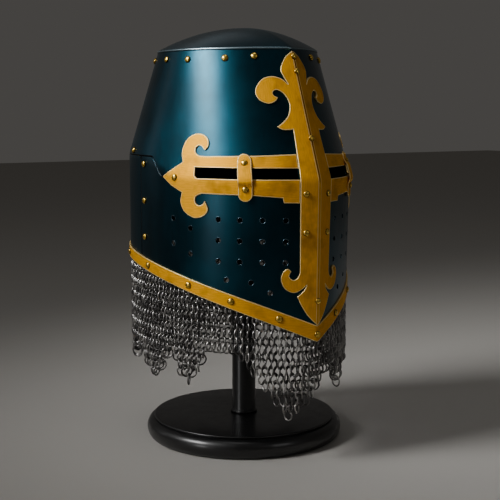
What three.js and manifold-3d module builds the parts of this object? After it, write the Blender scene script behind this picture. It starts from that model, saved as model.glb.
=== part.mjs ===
// A great helm of lacquered steel with a brass cross and a skirt of mail, on a turned black stand.
// Millimetres, +Z up. The face looks along -Y, and the origin is under the middle of the stand.
// A place on the helmet's wall is given by two numbers: along, the distance from the keel measured
// round the bend line and positive towards +X, and height, above the surface that the stand is on.
import * as THREE from 'three';
import { mergeVertices } from 'three/addons/utils/BufferGeometryUtils.js';
import Module from 'manifold-3d';

const wasm = await Module();
wasm.setup();

// Levels of the shell: a keeled oval each, with wing the slope in degrees of the faces beside the keel
const LEVELS = {
  rim: { height: 419.5, front: 93.5, back: 97.5, side: 16, width: 166, wing: 22 },
  bend: { height: 291, front: 145, back: 140, side: 18, width: 222, wing: 18 },
  foot: { height: 128.5, front: 142.5, back: 140, side: 18, width: 221, wing: 25 },
  hem: { height: 20, front: 135, back: 138, side: 18, width: 219, wing: 6 },
};
const KEEL_PULL = 0.505;
const CHEEK_PULL = 0.565;
const NAPE_PULL = 0.544;
const BACK_PULL = 0.711;

// The bend line climbs behind the cross, so that the seam at the back is higher than the one in front
const BEND_CLIMB = { from: 174, to: 198, rise: 20 };

const PLATE = 1.5;
const BRASS = 1.3;
const GAP = 0.35;
const COLUMNS = 56;
const LONG_SPAN = 7.5;

// Crown plate
const DOME_RISE = 26;
const CROWN_LIP = { overhang: 0.5, round: 2.6 };
const CROWN_FLANGE = 15;

// Laps between the plates
const SEAM = { tuck: 9.5, slot: 1, lapDrop: 1.3 };
const SIDE_LAP = { from: 204, edge: 220, end: 222.6 };

// Eye slits
const SLIT = { from: 19.4, to: 128.5, bottom: 291, top: 301.8, corner: 2.5, clearance: 0.5 };

// Brass band along the lower edge: its lower edge climbs from the front point towards the back
const BAND = { climb: 0.42, ease: 0.0006, level: 350, width: 16.5, taper: 0.018, rise: 1 };

// Mail skirt
const MAIL = { start: 190, wall: 3, tuckedInset: 3.9, hungInset: 2.2, tuck: 11, settle: 14 };
const MAIL_EDGE = table(['along', 'height'], [
  [-398.4, 112], [-375, 100], [-338, 76], [-302, 108], [-266.6, 80], [-234, 109], [-193.7, 75],
  [-163.2, 112], [-138.6, 74], [-119, 107], [-105, 112], [-94, 110], [-84, 99], [-68, 91],
  [-60, 77], [-42, 63], [-24, 46], [-8, 65], [1, 77], [17, 93], [37, 97], [61, 72], [92, 110],
  [126, 74], [158, 111], [190, 76], [222, 110], [255, 78], [287, 110], [320, 77], [352, 108],
  [384, 78], [398.4, 112],
]);

// Breath holes on one side
const BREATH_RADIUS = 2.6;
const BREATH_SIDES = 6;
const BREATH_COLUMNS = [32.5, 55.5, 78.5, 101.5];
const BREATH_ROWS = [250.5, 229.5, 208.5];
const BREATH_OTHERS = table(['along', 'height'], [
  [134.8, 240], [134.8, 214], [158.4, 249], [158.4, 223], [92.5, 190], [66.5, 188], [47, 178],
]);

// Rivet heads, by row: the radius and rise of each head, and how far out its seat is
const RIVET = { radius: 3.4, rise: 2.4, sides: 8 };
const SMALL_RIVET = { radius: 2.7, rise: 2, sides: 8 };

// Half outline of the upright, from its top point down to its foot
const UPRIGHT = table(['along', 'height', 'turn'], [
  [0, 417.5, 'corner'], [11, 411, 'round'], [19.5, 399.5, 'round'], [17, 390.5, 'round'],
  [13.5, 384, 'corner'], [21, 389.8, 'round'], [33, 392, 'round'], [46, 388.5, 'round'],
  [54.5, 378, 'round'], [51.5, 369, 'round'], [41, 364.8, 'round'], [32.5, 367, 'round'],
  [28.5, 371, 'corner'], [33, 373, 'round'], [33.5, 376.5, 'round'], [28, 378.3, 'round'],
  [20.5, 374, 'round'], [16.3, 364.5, 'round'], [19.5, 354, 'round'], [26.5, 347, 'round'],
  [34.5, 342, 'corner'], [29, 339.3, 'round'], [22, 339, 'round'], [17.4, 339.5, 'corner'],
  [17.3, 334, 'corner'], [18.8, 291, 'corner'], [18, 199, 'corner'], [20, 194, 'round'],
  [24.5, 191.5, 'round'], [28.5, 195, 'round'], [26.5, 200, 'corner'], [30, 202.8, 'round'],
  [35, 199, 'round'], [36.5, 191, 'round'], [32.5, 182.5, 'round'], [24, 178.5, 'round'],
  [16.5, 181.5, 'round'], [11, 186.5, 'corner'], [14, 180.5, 'round'], [20.5, 174.5, 'corner'],
  [15.5, 164.5, 'round'], [9, 154.5, 'round'], [0, 145.5, 'corner'],
]);

// Outline of one arm, from the end of its upper prong, round the fleur-de-lys, to the slit
const ARM = table(['along', 'height', 'turn'], [
  [19.4, 315.6, 'corner'], [60, 314, 'corner'], [120, 313, 'corner'], [126.5, 314.3, 'round'],
  [129.5, 319, 'round'], [126, 323.2, 'round'], [121, 322.3, 'round'], [117.6, 318.6, 'corner'],
  [113.2, 323, 'round'], [114, 330, 'round'], [121, 334.6, 'round'], [131, 334.8, 'round'],
  [141.5, 329.5, 'round'], [147.5, 318.5, 'round'], [145.3, 306.5, 'corner'],
  [159.5, 299, 'round'], [173, 291, 'corner'], [159.5, 282.5, 'round'], [144.5, 276, 'corner'],
  [146.5, 266, 'round'], [141, 256.5, 'round'], [129, 251, 'round'], [118.5, 253, 'round'],
  [112.5, 259.5, 'round'], [116, 268.3, 'corner'], [119.5, 264.8, 'round'], [123.5, 263.8, 'round'],
  [127.5, 267, 'round'], [126.8, 272.5, 'round'], [120, 275.8, 'corner'], [66, 275, 'corner'],
  [36, 273, 'corner'], [34.8, 268, 'corner'], [19.4, 267.8, 'corner'],
  [SLIT.from, SLIT.bottom, 'corner'], [SLIT.to - SLIT.corner, SLIT.bottom, 'corner'],
  [SLIT.to, SLIT.bottom + SLIT.corner, 'corner'], [SLIT.to, SLIT.top, 'corner'],
  [SLIT.from, SLIT.top, 'corner'],
]);

const STRAP = { along: 72.5, width: 14.6, bottom: 269, top: 316, bow: 2.2, thick: 1.3 };

// Stand
const BASE_SEGMENTS = 40;
const BASE = table(['radius', 'height'], [
  [0, 0], [103, 0], [106.6, 3], [108, 9], [107.2, 14], [104.6, 18], [100.8, 20.2], [98.6, 20.6],
  [99.9, 21.6], [99.9, 22.7], [99, 23.4], [0, 23.4],
]);
const POST_SEGMENTS = 24;
const POST = {
  radius: 13, bead: 14.8, beadHeight: 3.4, headRadius: 38, headDepth: 16, neck: 34, headDrop: 1.5,
};

const LACQUER = new THREE.MeshStandardMaterial({ color: 0x10434f, roughness: 0.34, metalness: 0.55 });
const BRASS_SHEET = new THREE.MeshStandardMaterial({ color: 0xb68a2c, roughness: 0.34, metalness: 1 });
const MAIL_STEEL = new THREE.MeshStandardMaterial({ color: 0x5c5d60, roughness: 0.4, metalness: 1 });
const BLACK_WOOD = new THREE.MeshStandardMaterial({ color: 0x0b0b0c, roughness: 0.2, metalness: 0 });

function table(columns, rows) {
  return rows.map((row) => Object.fromEntries(columns.map((name, i) => [name, row[i]])));
}

// The curves of one level from the keel to the middle of the back, on the +X side
function levelCurves({ front, back, side, width, wing }) {
  const half = width / 2;
  const slope = THREE.MathUtils.degToRad(wing);
  const keel = new THREE.Vector2(0, -front);
  const cheek = new THREE.Vector2(half, side);
  const nape = new THREE.Vector2(0, back);
  const wingEnd = new THREE.Vector2(Math.cos(slope), Math.sin(slope)).multiplyScalar(KEEL_PULL * half);
  return [
    new THREE.CubicBezierCurve(
      keel,
      wingEnd.add(keel),
      new THREE.Vector2(half, side - CHEEK_PULL * (side + front)),
      cheek,
    ),
    new THREE.CubicBezierCurve(
      cheek,
      new THREE.Vector2(half, side + NAPE_PULL * (back - side)),
      new THREE.Vector2(BACK_PULL * half, back),
      nape,
    ),
  ];
}

const CURVES = Object.fromEntries(Object.entries(LEVELS).map(([name, level]) => [name, levelCurves(level)]));
const FRONT_LENGTH = CURVES.bend[0].getLength();
const BACK_LENGTH = CURVES.bend[1].getLength();
const HALF_GIRTH = FRONT_LENGTH + BACK_LENGTH;

// Point of a level that lies above or below the given place on the bend line
function levelPoint(name, along) {
  const distance = Math.abs(along);
  const isFront = distance <= FRONT_LENGTH;
  const fraction = isFront ? distance / FRONT_LENGTH : (distance - FRONT_LENGTH) / BACK_LENGTH;
  const quarter = isFront ? 0 : 1;
  const t = CURVES.bend[quarter].getUtoTmapping(Math.min(fraction, 1));
  const point = CURVES[name][quarter].getPoint(t);
  point.x *= Math.sign(along);
  return point;
}

function smoothStep(value, from, to) {
  return THREE.MathUtils.smoothstep(value, from, to);
}

function seamHeight(along) {
  return LEVELS.bend.height + BEND_CLIMB.rise * smoothStep(Math.abs(along), BEND_CLIMB.from, BEND_CLIMB.to);
}

// Plan position of the wall, without any thickness
function wallPlan(along, height) {
  const seam = seamHeight(along);
  const bend = levelPoint('bend', along);
  if (height > seam) {
    return bend.lerp(levelPoint('rim', along), (height - seam) / (LEVELS.rim.height - seam));
  }
  const drop = (seam - height) / (LEVELS.bend.height - LEVELS.foot.height);
  return bend.lerp(levelPoint('foot', along), drop);
}

// The mail starts under the plates' foot and hangs into a rounder hem
function mailPlan(along, height) {
  const drop = THREE.MathUtils.clamp((MAIL.start - height) / (MAIL.start - LEVELS.hem.height), 0, 1);
  return levelPoint('foot', along).lerp(levelPoint('hem', along), drop);
}

// Point on a wall, moved level and square to the wall by out
function onWall(along, height, out = 0, plan = wallPlan) {
  const step = 0.5;
  const here = plan(along, height);
  const ahead = plan(Math.min(along + step, HALF_GIRTH), height);
  const behind = plan(Math.max(along - step, -HALF_GIRTH), height);
  const side = ahead.sub(behind).normalize();
  const isSeamLine = Math.abs(along) < 1e-6 || Math.abs(along) > HALF_GIRTH - 1e-6;
  const outward = isSeamLine ? new THREE.Vector2(0, Math.sign(here.y)) : new THREE.Vector2(side.y, -side.x);
  return new THREE.Vector3(here.x + out * outward.x, here.y + out * outward.y, height);
}

// Meshes and solids

function geometryOf(points, triangles) {
  const geometry = new THREE.BufferGeometry();
  geometry.setAttribute('position', new THREE.Float32BufferAttribute(points.flatMap((p) => [p.x, p.y, p.z]), 3));
  geometry.setIndex(triangles.flat());
  return geometry;
}

// Joins a row of closed loops into a solid: a ring of them, or a bar with both ends closed.
// Each loop runs round a strip's section, its first half outside and its second half back inside.
function sweep(loops, isRing) {
  const count = loops[0].length;
  const points = loops.flat();
  const triangles = [];
  const spans = isRing ? loops.length : loops.length - 1;
  for (let i = 0; i < spans; i += 1) {
    const here = i * count;
    const next = ((i + 1) % loops.length) * count;
    for (let j = 0; j < count; j += 1) {
      const k = (j + 1) % count;
      triangles.push([here + j, next + k, next + j], [here + j, here + k, next + k]);
    }
  }
  if (!isRing) {
    const last = (loops.length - 1) * count;
    for (let j = 0; j < count / 2 - 1; j += 1) {
      const [a, b, c, d] = [j, j + 1, count - 2 - j, count - 1 - j];
      triangles.push([a, c, b], [a, d, c]);
      triangles.push([last + a, last + b, last + c], [last + a, last + c, last + d]);
    }
  }
  return geometryOf(points, triangles);
}

function toSolid(geometry) {
  const bare = geometry.clone();
  bare.deleteAttribute('normal');
  bare.deleteAttribute('uv');
  const merged = mergeVertices(bare, 1e-4);
  const mesh = new wasm.Mesh({
    numProp: 3,
    vertProperties: new Float32Array(merged.attributes.position.array),
    triVerts: new Uint32Array(merged.index.array),
  });
  return new wasm.Manifold(mesh);
}

function fromSolid(solid) {
  const mesh = solid.getMesh();
  const geometry = new THREE.BufferGeometry();
  geometry.setAttribute('position', new THREE.BufferAttribute(new Float32Array(mesh.vertProperties), 3));
  geometry.setIndex(new THREE.BufferAttribute(new Uint32Array(mesh.triVerts), 1));
  return geometry;
}

function cutAway(geometry, tools) {
  const rest = tools.reduce((solid, tool) => solid.subtract(toSolid(tool)), toSolid(geometry));
  return fromSolid(rest);
}

// Stations round the wall, shared by every plate so that nested faces run side by side
const PITCH = HALF_GIRTH / (COLUMNS / 2);

function stations(from, to) {
  const inner = [];
  for (let i = -COLUMNS / 2; i <= COLUMNS / 2; i += 1) {
    if (i * PITCH > from + 1 && i * PITCH < to - 1) {
      inner.push(i * PITCH);
    }
  }
  return [from, ...inner, to];
}

function ringStations(count) {
  return Array.from({ length: count }, (_, i) => -HALF_GIRTH + (2 * HALF_GIRTH * i) / count);
}

// Brass sheet cut to an outline and bent round the wall

// Points of an outline, with its round stretches run through a smooth curve and the long spans halved
function outlinePoints(rows) {
  const points = [];
  let stretch = [];
  rows.forEach((row) => {
    stretch.push(new THREE.Vector2(row.along, row.height));
    if (row.turn === 'corner' && stretch.length > 1) {
      const curve = new THREE.SplineCurve(stretch);
      const spans = stretch.length - 1;
      for (let i = 0; i < spans; i += 1) {
        points.push(stretch[i]);
        if (spans > 1 && stretch[i].distanceTo(stretch[i + 1]) > LONG_SPAN) {
          points.push(curve.getPoint((i + 0.5) / spans));
        }
      }
      stretch = [stretch.at(-1)];
    }
  });
  points.push(...stretch);
  return points;
}

function mirrored(points) {
  return points.map((p) => new THREE.Vector2(-p.x, p.y)).reverse();
}

// Splits a convex polygon by the line where one coordinate has the given value
function splitPolygon(polygon, axis, value) {
  const low = [];
  const high = [];
  polygon.forEach((point, i) => {
    const next = polygon[(i + 1) % polygon.length];
    const here = point[axis] - value;
    const there = next[axis] - value;
    if (here <= 0) {
      low.push(point);
    }
    if (here >= 0) {
      high.push(point);
    }
    if (here * there < 0) {
      const crossing = here < 0
        ? point.clone().lerp(next, here / (here - there))
        : next.clone().lerp(point, there / (there - here));
      low.push(crossing);
      high.push(crossing);
    }
  });
  return [low, high].filter((part) => part.length > 2);
}

// A plate with the given outline whose inner and outer faces lie inner and outer away from the wall
function bentPlate(outline, inner, outer, bow = () => 0) {
  const contour = THREE.ShapeUtils.isClockWise(outline) ? [...outline].reverse() : outline;
  let polygons = THREE.ShapeUtils.triangulateShape(contour, []).map((face) => face.map((i) => contour[i]));
  for (let i = -COLUMNS / 2; i <= COLUMNS / 2; i += 1) {
    polygons = polygons.flatMap((polygon) => splitPolygon(polygon, 'x', i * PITCH));
  }
  polygons = polygons.flatMap((polygon) => splitPolygon(polygon, 'y', LEVELS.bend.height));

  const flat = [];
  const known = new Map();
  const indexOf = (point) => {
    const key = `${Math.round(point.x * 200)},${Math.round(point.y * 200)}`;
    if (!known.has(key)) {
      known.set(key, flat.length);
      flat.push(point);
    }
    return known.get(key);
  };
  const faces = [];
  polygons.forEach((polygon) => {
    const corners = polygon.map(indexOf).filter((corner, i, all) => corner !== all[(i + 1) % all.length]);
    for (let i = 1; i < corners.length - 1; i += 1) {
      faces.push([corners[0], corners[i], corners[i + 1]]);
    }
  });

  const directed = new Set(faces.flatMap(([a, b, c]) => [`${a},${b}`, `${b},${c}`, `${c},${a}`]));
  const count = flat.length;
  const triangles = faces.flatMap(([a, b, c]) => [[a, b, c], [c + count, b + count, a + count]]);
  faces.forEach(([a, b, c]) => {
    [[a, b], [b, c], [c, a]].forEach(([from, to]) => {
      if (!directed.has(`${to},${from}`)) {
        triangles.push([to, from, from + count], [to, from + count, to + count]);
      }
    });
  });
  const outside = flat.map((p) => onWall(p.x, p.y, outer + bow(p.y)));
  const inside = flat.map((p) => onWall(p.x, p.y, inner + bow(p.y)));
  return geometryOf([...outside, ...inside], triangles);
}

// Steel plates

function crownDome() {
  const { height } = LEVELS.rim;
  const centre = (LEVELS.rim.back - LEVELS.rim.front) / 2;
  const domeHeight = (share) => height + DOME_RISE * (1 - share * share);
  const inDome = (along, share, drop) => {
    const edge = levelPoint('rim', along);
    return new THREE.Vector3(edge.x * share, centre + (edge.y - centre) * share, domeHeight(share) - drop);
  };
  const rims = ringStations(COLUMNS);
  const rings = [
    ...[0.4, 0.72, 0.94].map((share) => rims.map((along) => inDome(along, share, 0))),
    rims.map((along) => onWall(along, height, -0.9).setZ(height + CROWN_LIP.round)),
    rims.map((along) => onWall(along, height, CROWN_LIP.overhang).setZ(height + CROWN_LIP.round / 2)),
    rims.map((along) => onWall(along, height, 0)),
    rims.map((along) => onWall(along, height, -PLATE - GAP)),
    rims.map((along) => onWall(along, height - CROWN_FLANGE, -PLATE - GAP)),
    rims.map((along) => onWall(along, height - CROWN_FLANGE, -2 * PLATE - GAP)),
    rims.map((along) => onWall(along, height, -2 * PLATE - GAP).setZ(height + 1)),
    ...[0.7, 0.36].map((share) => rims.map((along) => inDome(along, share, PLATE))),
  ];
  const top = new THREE.Vector3(0, centre, domeHeight(0));
  const points = [top, ...rings.flat(), top.clone().setZ(domeHeight(0) - PLATE)];
  const triangles = [];
  for (let j = 0; j < COLUMNS; j += 1) {
    const k = (j + 1) % COLUMNS;
    triangles.push([0, 1 + j, 1 + k]);
    for (let i = 0; i < rings.length - 1; i += 1) {
      const here = 1 + i * COLUMNS;
      const next = here + COLUMNS;
      triangles.push([here + j, next + j, next + k], [here + j, next + k, here + k]);
    }
    const last = 1 + (rings.length - 1) * COLUMNS;
    triangles.push([last + k, last + j, points.length - 1]);
  }
  return geometryOf(points, triangles);
}

// The block that is cut away for one eye slit in the steel
function slitTool(side) {
  const ends = [SLIT.from + 1.2, SLIT.to + SLIT.clearance].map((along) => along * side).sort((a, b) => a - b);
  const bottom = SLIT.bottom - 1.6;
  const top = SLIT.top + SLIT.clearance;
  return sweep(stations(...ends).map((along) => [
    onWall(along, top, 8), onWall(along, bottom, 8), onWall(along, bottom, -8), onWall(along, top, -8),
  ]), false);
}

function upperSkull() {
  const top = LEVELS.rim.height - GAP;
  const loops = ringStations(COLUMNS).map((along) => {
    const bottom = seamHeight(along) + 0.1;
    return [
      onWall(along, top, 0), onWall(along, bottom, 0),
      onWall(along, bottom, -PLATE), onWall(along, top, -PLATE),
    ];
  });
  return cutAway(sweep(loops, true), [slitTool(-1), slitTool(1)]);
}

// Height of the lower edge of the brass band
function bandFoot(along) {
  const distance = Math.min(Math.abs(along), BAND.level);
  return LEVELS.foot.height + BAND.climb * distance - BAND.ease * distance * distance;
}

function bandHead(along) {
  const distance = Math.min(Math.abs(along), BAND.level);
  return bandFoot(along) + Math.max(BAND.width - BAND.taper * distance, 12);
}

// Section of a lower plate, with the flange that is tucked up under the skull.
// Where the plate is lapped under its neighbour, its step lies lower by a share of the inset.
function lowerLoop(along, inset) {
  const tuck = -PLATE - GAP;
  const shoulder = seamHeight(along) - SEAM.slot - SEAM.lapDrop * inset;
  const flange = seamHeight(along) + SEAM.tuck;
  const outer = [
    [flange, tuck], [shoulder + 0.5, tuck], [shoulder, 0], [bandFoot(along) + BAND.rise, 0],
  ];
  const inner = [...outer].reverse().map(([height, out]) => [height, out - PLATE]);
  inner[1][0] = shoulder - 1;
  inner[2][0] = shoulder - 0.4;
  return [...outer, ...inner].map(([height, out]) => onWall(along, height, out - inset));
}

function breathPlaces() {
  const grid = BREATH_COLUMNS.flatMap((along) => BREATH_ROWS.map((height) => ({ along, height })));
  return [...grid, ...BREATH_OTHERS];
}

function breathTool({ along, height }) {
  const centre = onWall(along, height, 0);
  const outward = onWall(along, height, 1).sub(centre);
  const tool = new THREE.CylinderGeometry(BREATH_RADIUS, BREATH_RADIUS, 10, BREATH_SIDES);
  tool.applyQuaternion(new THREE.Quaternion().setFromUnitVectors(new THREE.Vector3(0, 1, 0), outward));
  return tool.translate(centre.x, centre.y, centre.z);
}

function lowerFrontPlate() {
  const body = sweep(stations(-SIDE_LAP.edge, SIDE_LAP.edge).map((along) => lowerLoop(along, 0)), false);
  const holes = [-1, 1].flatMap((side) => (
    breathPlaces().map(({ along, height }) => breathTool({ along: along * side, height }))
  ));
  return cutAway(body, [slitTool(-1), slitTool(1), ...holes]);
}

function lowerBackPlate() {
  const lap = PLATE + GAP;
  const left = [
    [SIDE_LAP.from, lap], [213.4, lap], [SIDE_LAP.edge + 0.6, lap], [SIDE_LAP.end, 0],
    ...stations(SIDE_LAP.end, HALF_GIRTH).slice(1).map((along) => [along, 0]),
  ];
  const right = left.slice(0, -1).reverse().map(([along, inset]) => [-along, inset]);
  return sweep([...left, ...right].map(([along, inset]) => lowerLoop(along, inset)), false);
}

// Brass

function crossUpright() {
  const half = outlinePoints(UPRIGHT);
  const outline = [...half, ...mirrored(half).slice(1, -1)];
  return bentPlate(outline, GAP, GAP + BRASS);
}

function crossArm(side) {
  const outline = outlinePoints(ARM).map((p) => new THREE.Vector2(p.x * side, p.y));
  return bentPlate(outline, GAP, GAP + BRASS);
}

function strapBow(height) {
  const middle = (STRAP.top + STRAP.bottom) / 2;
  const reach = (STRAP.top - STRAP.bottom) / 2;
  return STRAP.bow * Math.cos((Math.PI / 2) * Math.min(1, Math.abs(height - middle) / reach));
}

function sightStrap(side) {
  const radius = STRAP.width / 2;
  const outline = new THREE.Path();
  outline.absarc(STRAP.along * side, STRAP.top - radius, radius, 0, Math.PI);
  outline.absarc(STRAP.along * side, STRAP.bottom + radius, radius, Math.PI, 2 * Math.PI);
  const ends = outline.getPoints(6);
  const middles = [280, 300, 309].flatMap((height) => [{ x: radius, height }, { x: -radius, height }]);
  const rows = [...ends, ...middles.map(({ x, height }) => new THREE.Vector2(STRAP.along * side + x, height))];
  const centre = new THREE.Vector2(STRAP.along * side, (STRAP.top + STRAP.bottom) / 2);
  const turn = (p) => Math.atan2(p.y - centre.y, p.x - centre.x);
  const unique = rows.filter((p, i) => rows.findIndex((q) => q.distanceTo(p) < 0.01) === i);
  unique.sort((p, q) => turn(p) - turn(q));
  const seat = 2 * GAP + BRASS;
  return bentPlate(unique, seat, seat + STRAP.thick, strapBow);
}

function bottomBand() {
  const loops = ringStations(COLUMNS).map((along) => [
    onWall(along, bandHead(along), GAP + BRASS), onWall(along, bandFoot(along), GAP + BRASS),
    onWall(along, bandFoot(along), GAP), onWall(along, bandHead(along), GAP),
  ]);
  return sweep(loops, true);
}

// Mail

function mailEdge(along) {
  const after = MAIL_EDGE.findIndex((row) => row.along >= along);
  const b = MAIL_EDGE[Math.max(after, 1)];
  const a = MAIL_EDGE[Math.max(after, 1) - 1];
  return THREE.MathUtils.mapLinear(along, a.along, b.along, a.height, b.height);
}

function mailAventail() {
  const even = ringStations(COLUMNS);
  const marks = MAIL_EDGE.map((row) => row.along).filter((along) => (
    along > -HALF_GIRTH + 3 && along < HALF_GIRTH - 3 && !even.some((other) => Math.abs(other - along) < 3)
  ));
  const places = [...even, ...marks].sort((a, b) => a - b);
  const loops = places.map((along) => {
    const foot = bandFoot(along);
    const rows = [
      [foot + MAIL.tuck, MAIL.tuckedInset], [foot - 1, MAIL.tuckedInset],
      [foot - MAIL.settle, MAIL.hungInset], [mailEdge(along), MAIL.hungInset],
    ];
    const outside = rows.map(([height, inset]) => onWall(along, height, -inset, mailPlan));
    const inside = rows.map(([height, inset]) => onWall(along, height, -inset - MAIL.wall, mailPlan));
    return [...outside, ...inside.reverse()];
  });
  return sweep(loops, true);
}

// Rivets: the seat follows the wall, and the head is a low dome on it
function rivetHead({ along, height, out, size, bow = () => 0 }) {
  const onSeat = (x, y, rise = 0) => onWall(x, y, out + bow(y) + rise);
  const centre = onSeat(along, height);
  const outward = onSeat(along, height, 1).sub(centre).normalize();
  const above = onSeat(along, height + 1).sub(centre);
  const across = new THREE.Vector3().crossVectors(above, outward).normalize();
  const up = new THREE.Vector3().crossVectors(outward, across).normalize();
  const turns = Array.from({ length: size.sides }, (_, i) => (2 * Math.PI * i) / size.sides);
  const dome = (share, rise) => turns.map((turn) => centre.clone()
    .addScaledVector(across, size.radius * share * Math.cos(turn))
    .addScaledVector(up, size.radius * share * Math.sin(turn))
    .addScaledVector(outward, rise));
  const seat = turns.map((turn) => (
    onSeat(along + size.radius * Math.cos(turn), height + size.radius * Math.sin(turn))
  ));
  const rings = [seat, dome(0.8, 0.65 * size.rise)];
  const top = centre.clone().addScaledVector(outward, size.rise);
  const points = [centre, ...rings.flat(), top];
  const triangles = [];
  const n = size.sides;
  for (let j = 0; j < n; j += 1) {
    const k = (j + 1) % n;
    triangles.push([0, 1 + k, 1 + j]);
    for (let i = 0; i < rings.length - 1; i += 1) {
      const here = 1 + i * n;
      triangles.push([here + j, here + k, here + n + k], [here + j, here + n + k, here + n + j]);
    }
    const last = 1 + (rings.length - 1) * n;
    triangles.push([last + j, last + k, points.length - 1]);
  }
  return geometryOf(points, triangles);
}

const ON_STEEL = GAP;
const ON_BRASS = 2 * GAP + BRASS;
const ON_STRAP = 3 * GAP + BRASS + STRAP.thick;

// Rivets on the keel or the middle of the back come once, the others once on each side
const RIVET_ROWS = [
  { name: 'rim_rivet', out: ON_STEEL, size: RIVET, both: true, places: [
    [51.5, 412.3], [93, 410.5], [156, 410], [208.5, 411], [272, 411], [346, 411],
  ] },
  { name: 'keel_rivet', out: ON_BRASS, size: RIVET, both: false, places: [
    [0, 412], [0, 397], [0, 331], [0, 170],
  ] },
  { name: 'upright_rivet', out: ON_BRASS, size: SMALL_RIVET, both: true, places: [[13, 277], [12.5, 238.5]] },
  { name: 'arm_rivet', out: ON_BRASS, size: RIVET, both: true, places: [[154.6, 291]] },
  { name: 'strap_rivet', out: ON_STRAP, bow: strapBow, size: SMALL_RIVET, both: true, places: [
    [STRAP.along, 307], [STRAP.along, 281],
  ] },
  { name: 'side_rivet', out: ON_STEEL, size: RIVET, both: true, places: [[212, 302], [212, 263.5], [212, 225]] },
  { name: 'seam_rivet', out: ON_STEEL, size: RIVET, both: true, places: [[246, 315.5]] },
  { name: 'band_rivet', out: ON_BRASS, size: RIVET, both: true, places: [
    [37.9, 152.3], [87, 168.6], [136.5, 181.8], [202.5, 195.5], [262, 203.5], [326, 208],
  ] },
  { name: 'band_rivet_middle', out: ON_BRASS, size: RIVET, both: false, places: [[0, 136.2]] },
];

// Stand

function standBase() {
  const profile = BASE.map((row) => new THREE.Vector2(row.radius, row.height));
  return new THREE.LatheGeometry(profile, BASE_SEGMENTS).rotateX(Math.PI / 2);
}

// The head under the crown is a plain disc, domed to the crown's inside
function standPost() {
  const foot = BASE.at(-1).height + GAP;
  const top = LEVELS.rim.height + DOME_RISE - PLATE - GAP;
  const under = (radius) => {
    const share = radius / (LEVELS.rim.width / 2);
    return top - DOME_RISE * share * share - POST.headDrop;
  };
  const { radius, bead, beadHeight, headRadius, headDepth, neck } = POST;
  const profile = [
    [0, foot], [bead - 0.8, foot], [bead, foot + beadHeight / 2], [bead - 0.8, foot + beadHeight],
    [radius, foot + beadHeight + 0.4], [radius, under(headRadius) - headDepth - neck],
    [headRadius - 5, under(headRadius) - headDepth], [headRadius, under(headRadius) - 5],
    [headRadius - 2, under(headRadius - 2)], [headRadius / 2, under(headRadius / 2)], [0, under(0)],
  ].map(([x, y]) => new THREE.Vector2(x, y));
  return new THREE.LatheGeometry(profile, POST_SEGMENTS).rotateX(Math.PI / 2);
}

// Assembly

const helmet = new THREE.Group();

function addPiece(name, geometry, material) {
  const mesh = new THREE.Mesh(geometry, material);
  mesh.name = name;
  helmet.add(mesh);
}

addPiece('crown_dome', crownDome(), LACQUER);
addPiece('upper_skull', upperSkull(), LACQUER);
addPiece('lower_front_plate', lowerFrontPlate(), LACQUER);
addPiece('lower_back_plate', lowerBackPlate(), LACQUER);
addPiece('cross_upright', crossUpright(), BRASS_SHEET);
addPiece('cross_arm_right', crossArm(-1), BRASS_SHEET);
addPiece('cross_arm_left', crossArm(1), BRASS_SHEET);
addPiece('sight_strap_right', sightStrap(-1), BRASS_SHEET);
addPiece('sight_strap_left', sightStrap(1), BRASS_SHEET);
addPiece('bottom_band', bottomBand(), BRASS_SHEET);
addPiece('mail_aventail', mailAventail(), MAIL_STEEL);
addPiece('stand_base', standBase(), BLACK_WOOD);
addPiece('stand_post', standPost(), BLACK_WOOD);

RIVET_ROWS.forEach(({ name, both, places, ...head }) => {
  places.forEach(([along, height], i) => {
    const sides = both ? [['right', -1], ['left', 1]] : [['', 1]];
    sides.forEach(([label, side]) => {
      const fullName = [name, label, i + 1].filter((word) => word !== '').join('_');
      addPiece(fullName, rivetHead({ along: along * side, height, ...head }), BRASS_SHEET);
    });
  });
});

export default helmet;
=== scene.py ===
"""A great helm of lacquered steel with a brass cross and a skirt of mail, on a turned black stand.

The shell is described in wall coordinates: along, the distance from the keel measured round the
bend line and positive towards +X, and height, above the surface that the stand is on. Sizes are in
millimetres until a mesh is written, which is in metres.
"""

from __future__ import annotations

import logging
import math
from dataclasses import dataclass, field
from enum import Enum
from typing import Callable, Sequence

import bpy
import numpy as np
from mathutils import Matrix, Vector
from mathutils.geometry import delaunay_2d_cdt


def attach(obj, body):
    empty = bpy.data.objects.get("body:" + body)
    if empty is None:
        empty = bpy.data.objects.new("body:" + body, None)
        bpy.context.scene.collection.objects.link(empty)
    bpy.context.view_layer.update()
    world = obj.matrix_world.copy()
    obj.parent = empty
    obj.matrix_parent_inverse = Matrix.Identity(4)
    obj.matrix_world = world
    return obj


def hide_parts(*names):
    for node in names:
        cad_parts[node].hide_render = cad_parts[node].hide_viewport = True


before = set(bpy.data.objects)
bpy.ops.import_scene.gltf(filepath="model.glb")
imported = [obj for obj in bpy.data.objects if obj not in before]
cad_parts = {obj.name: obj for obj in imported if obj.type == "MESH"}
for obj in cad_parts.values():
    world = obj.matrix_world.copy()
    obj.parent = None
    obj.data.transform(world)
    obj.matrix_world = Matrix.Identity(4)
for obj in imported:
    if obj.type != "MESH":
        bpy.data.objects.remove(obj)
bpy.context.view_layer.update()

LOG = logging.getLogger("helm")
MM = 0.001
TINY = 1e-12
BODY = "root"
Array = np.ndarray
Offset = Callable[[Array, Array], Array]
Place = tuple[float, float, float]
Range = tuple[float, float]
Piece = bpy.types.Object
Material = bpy.types.Material
Tree = bpy.types.NodeTree
Node = bpy.types.Node
Socket = bpy.types.NodeSocket
Links = dict[str | int, object]


# Small helpers


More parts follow.
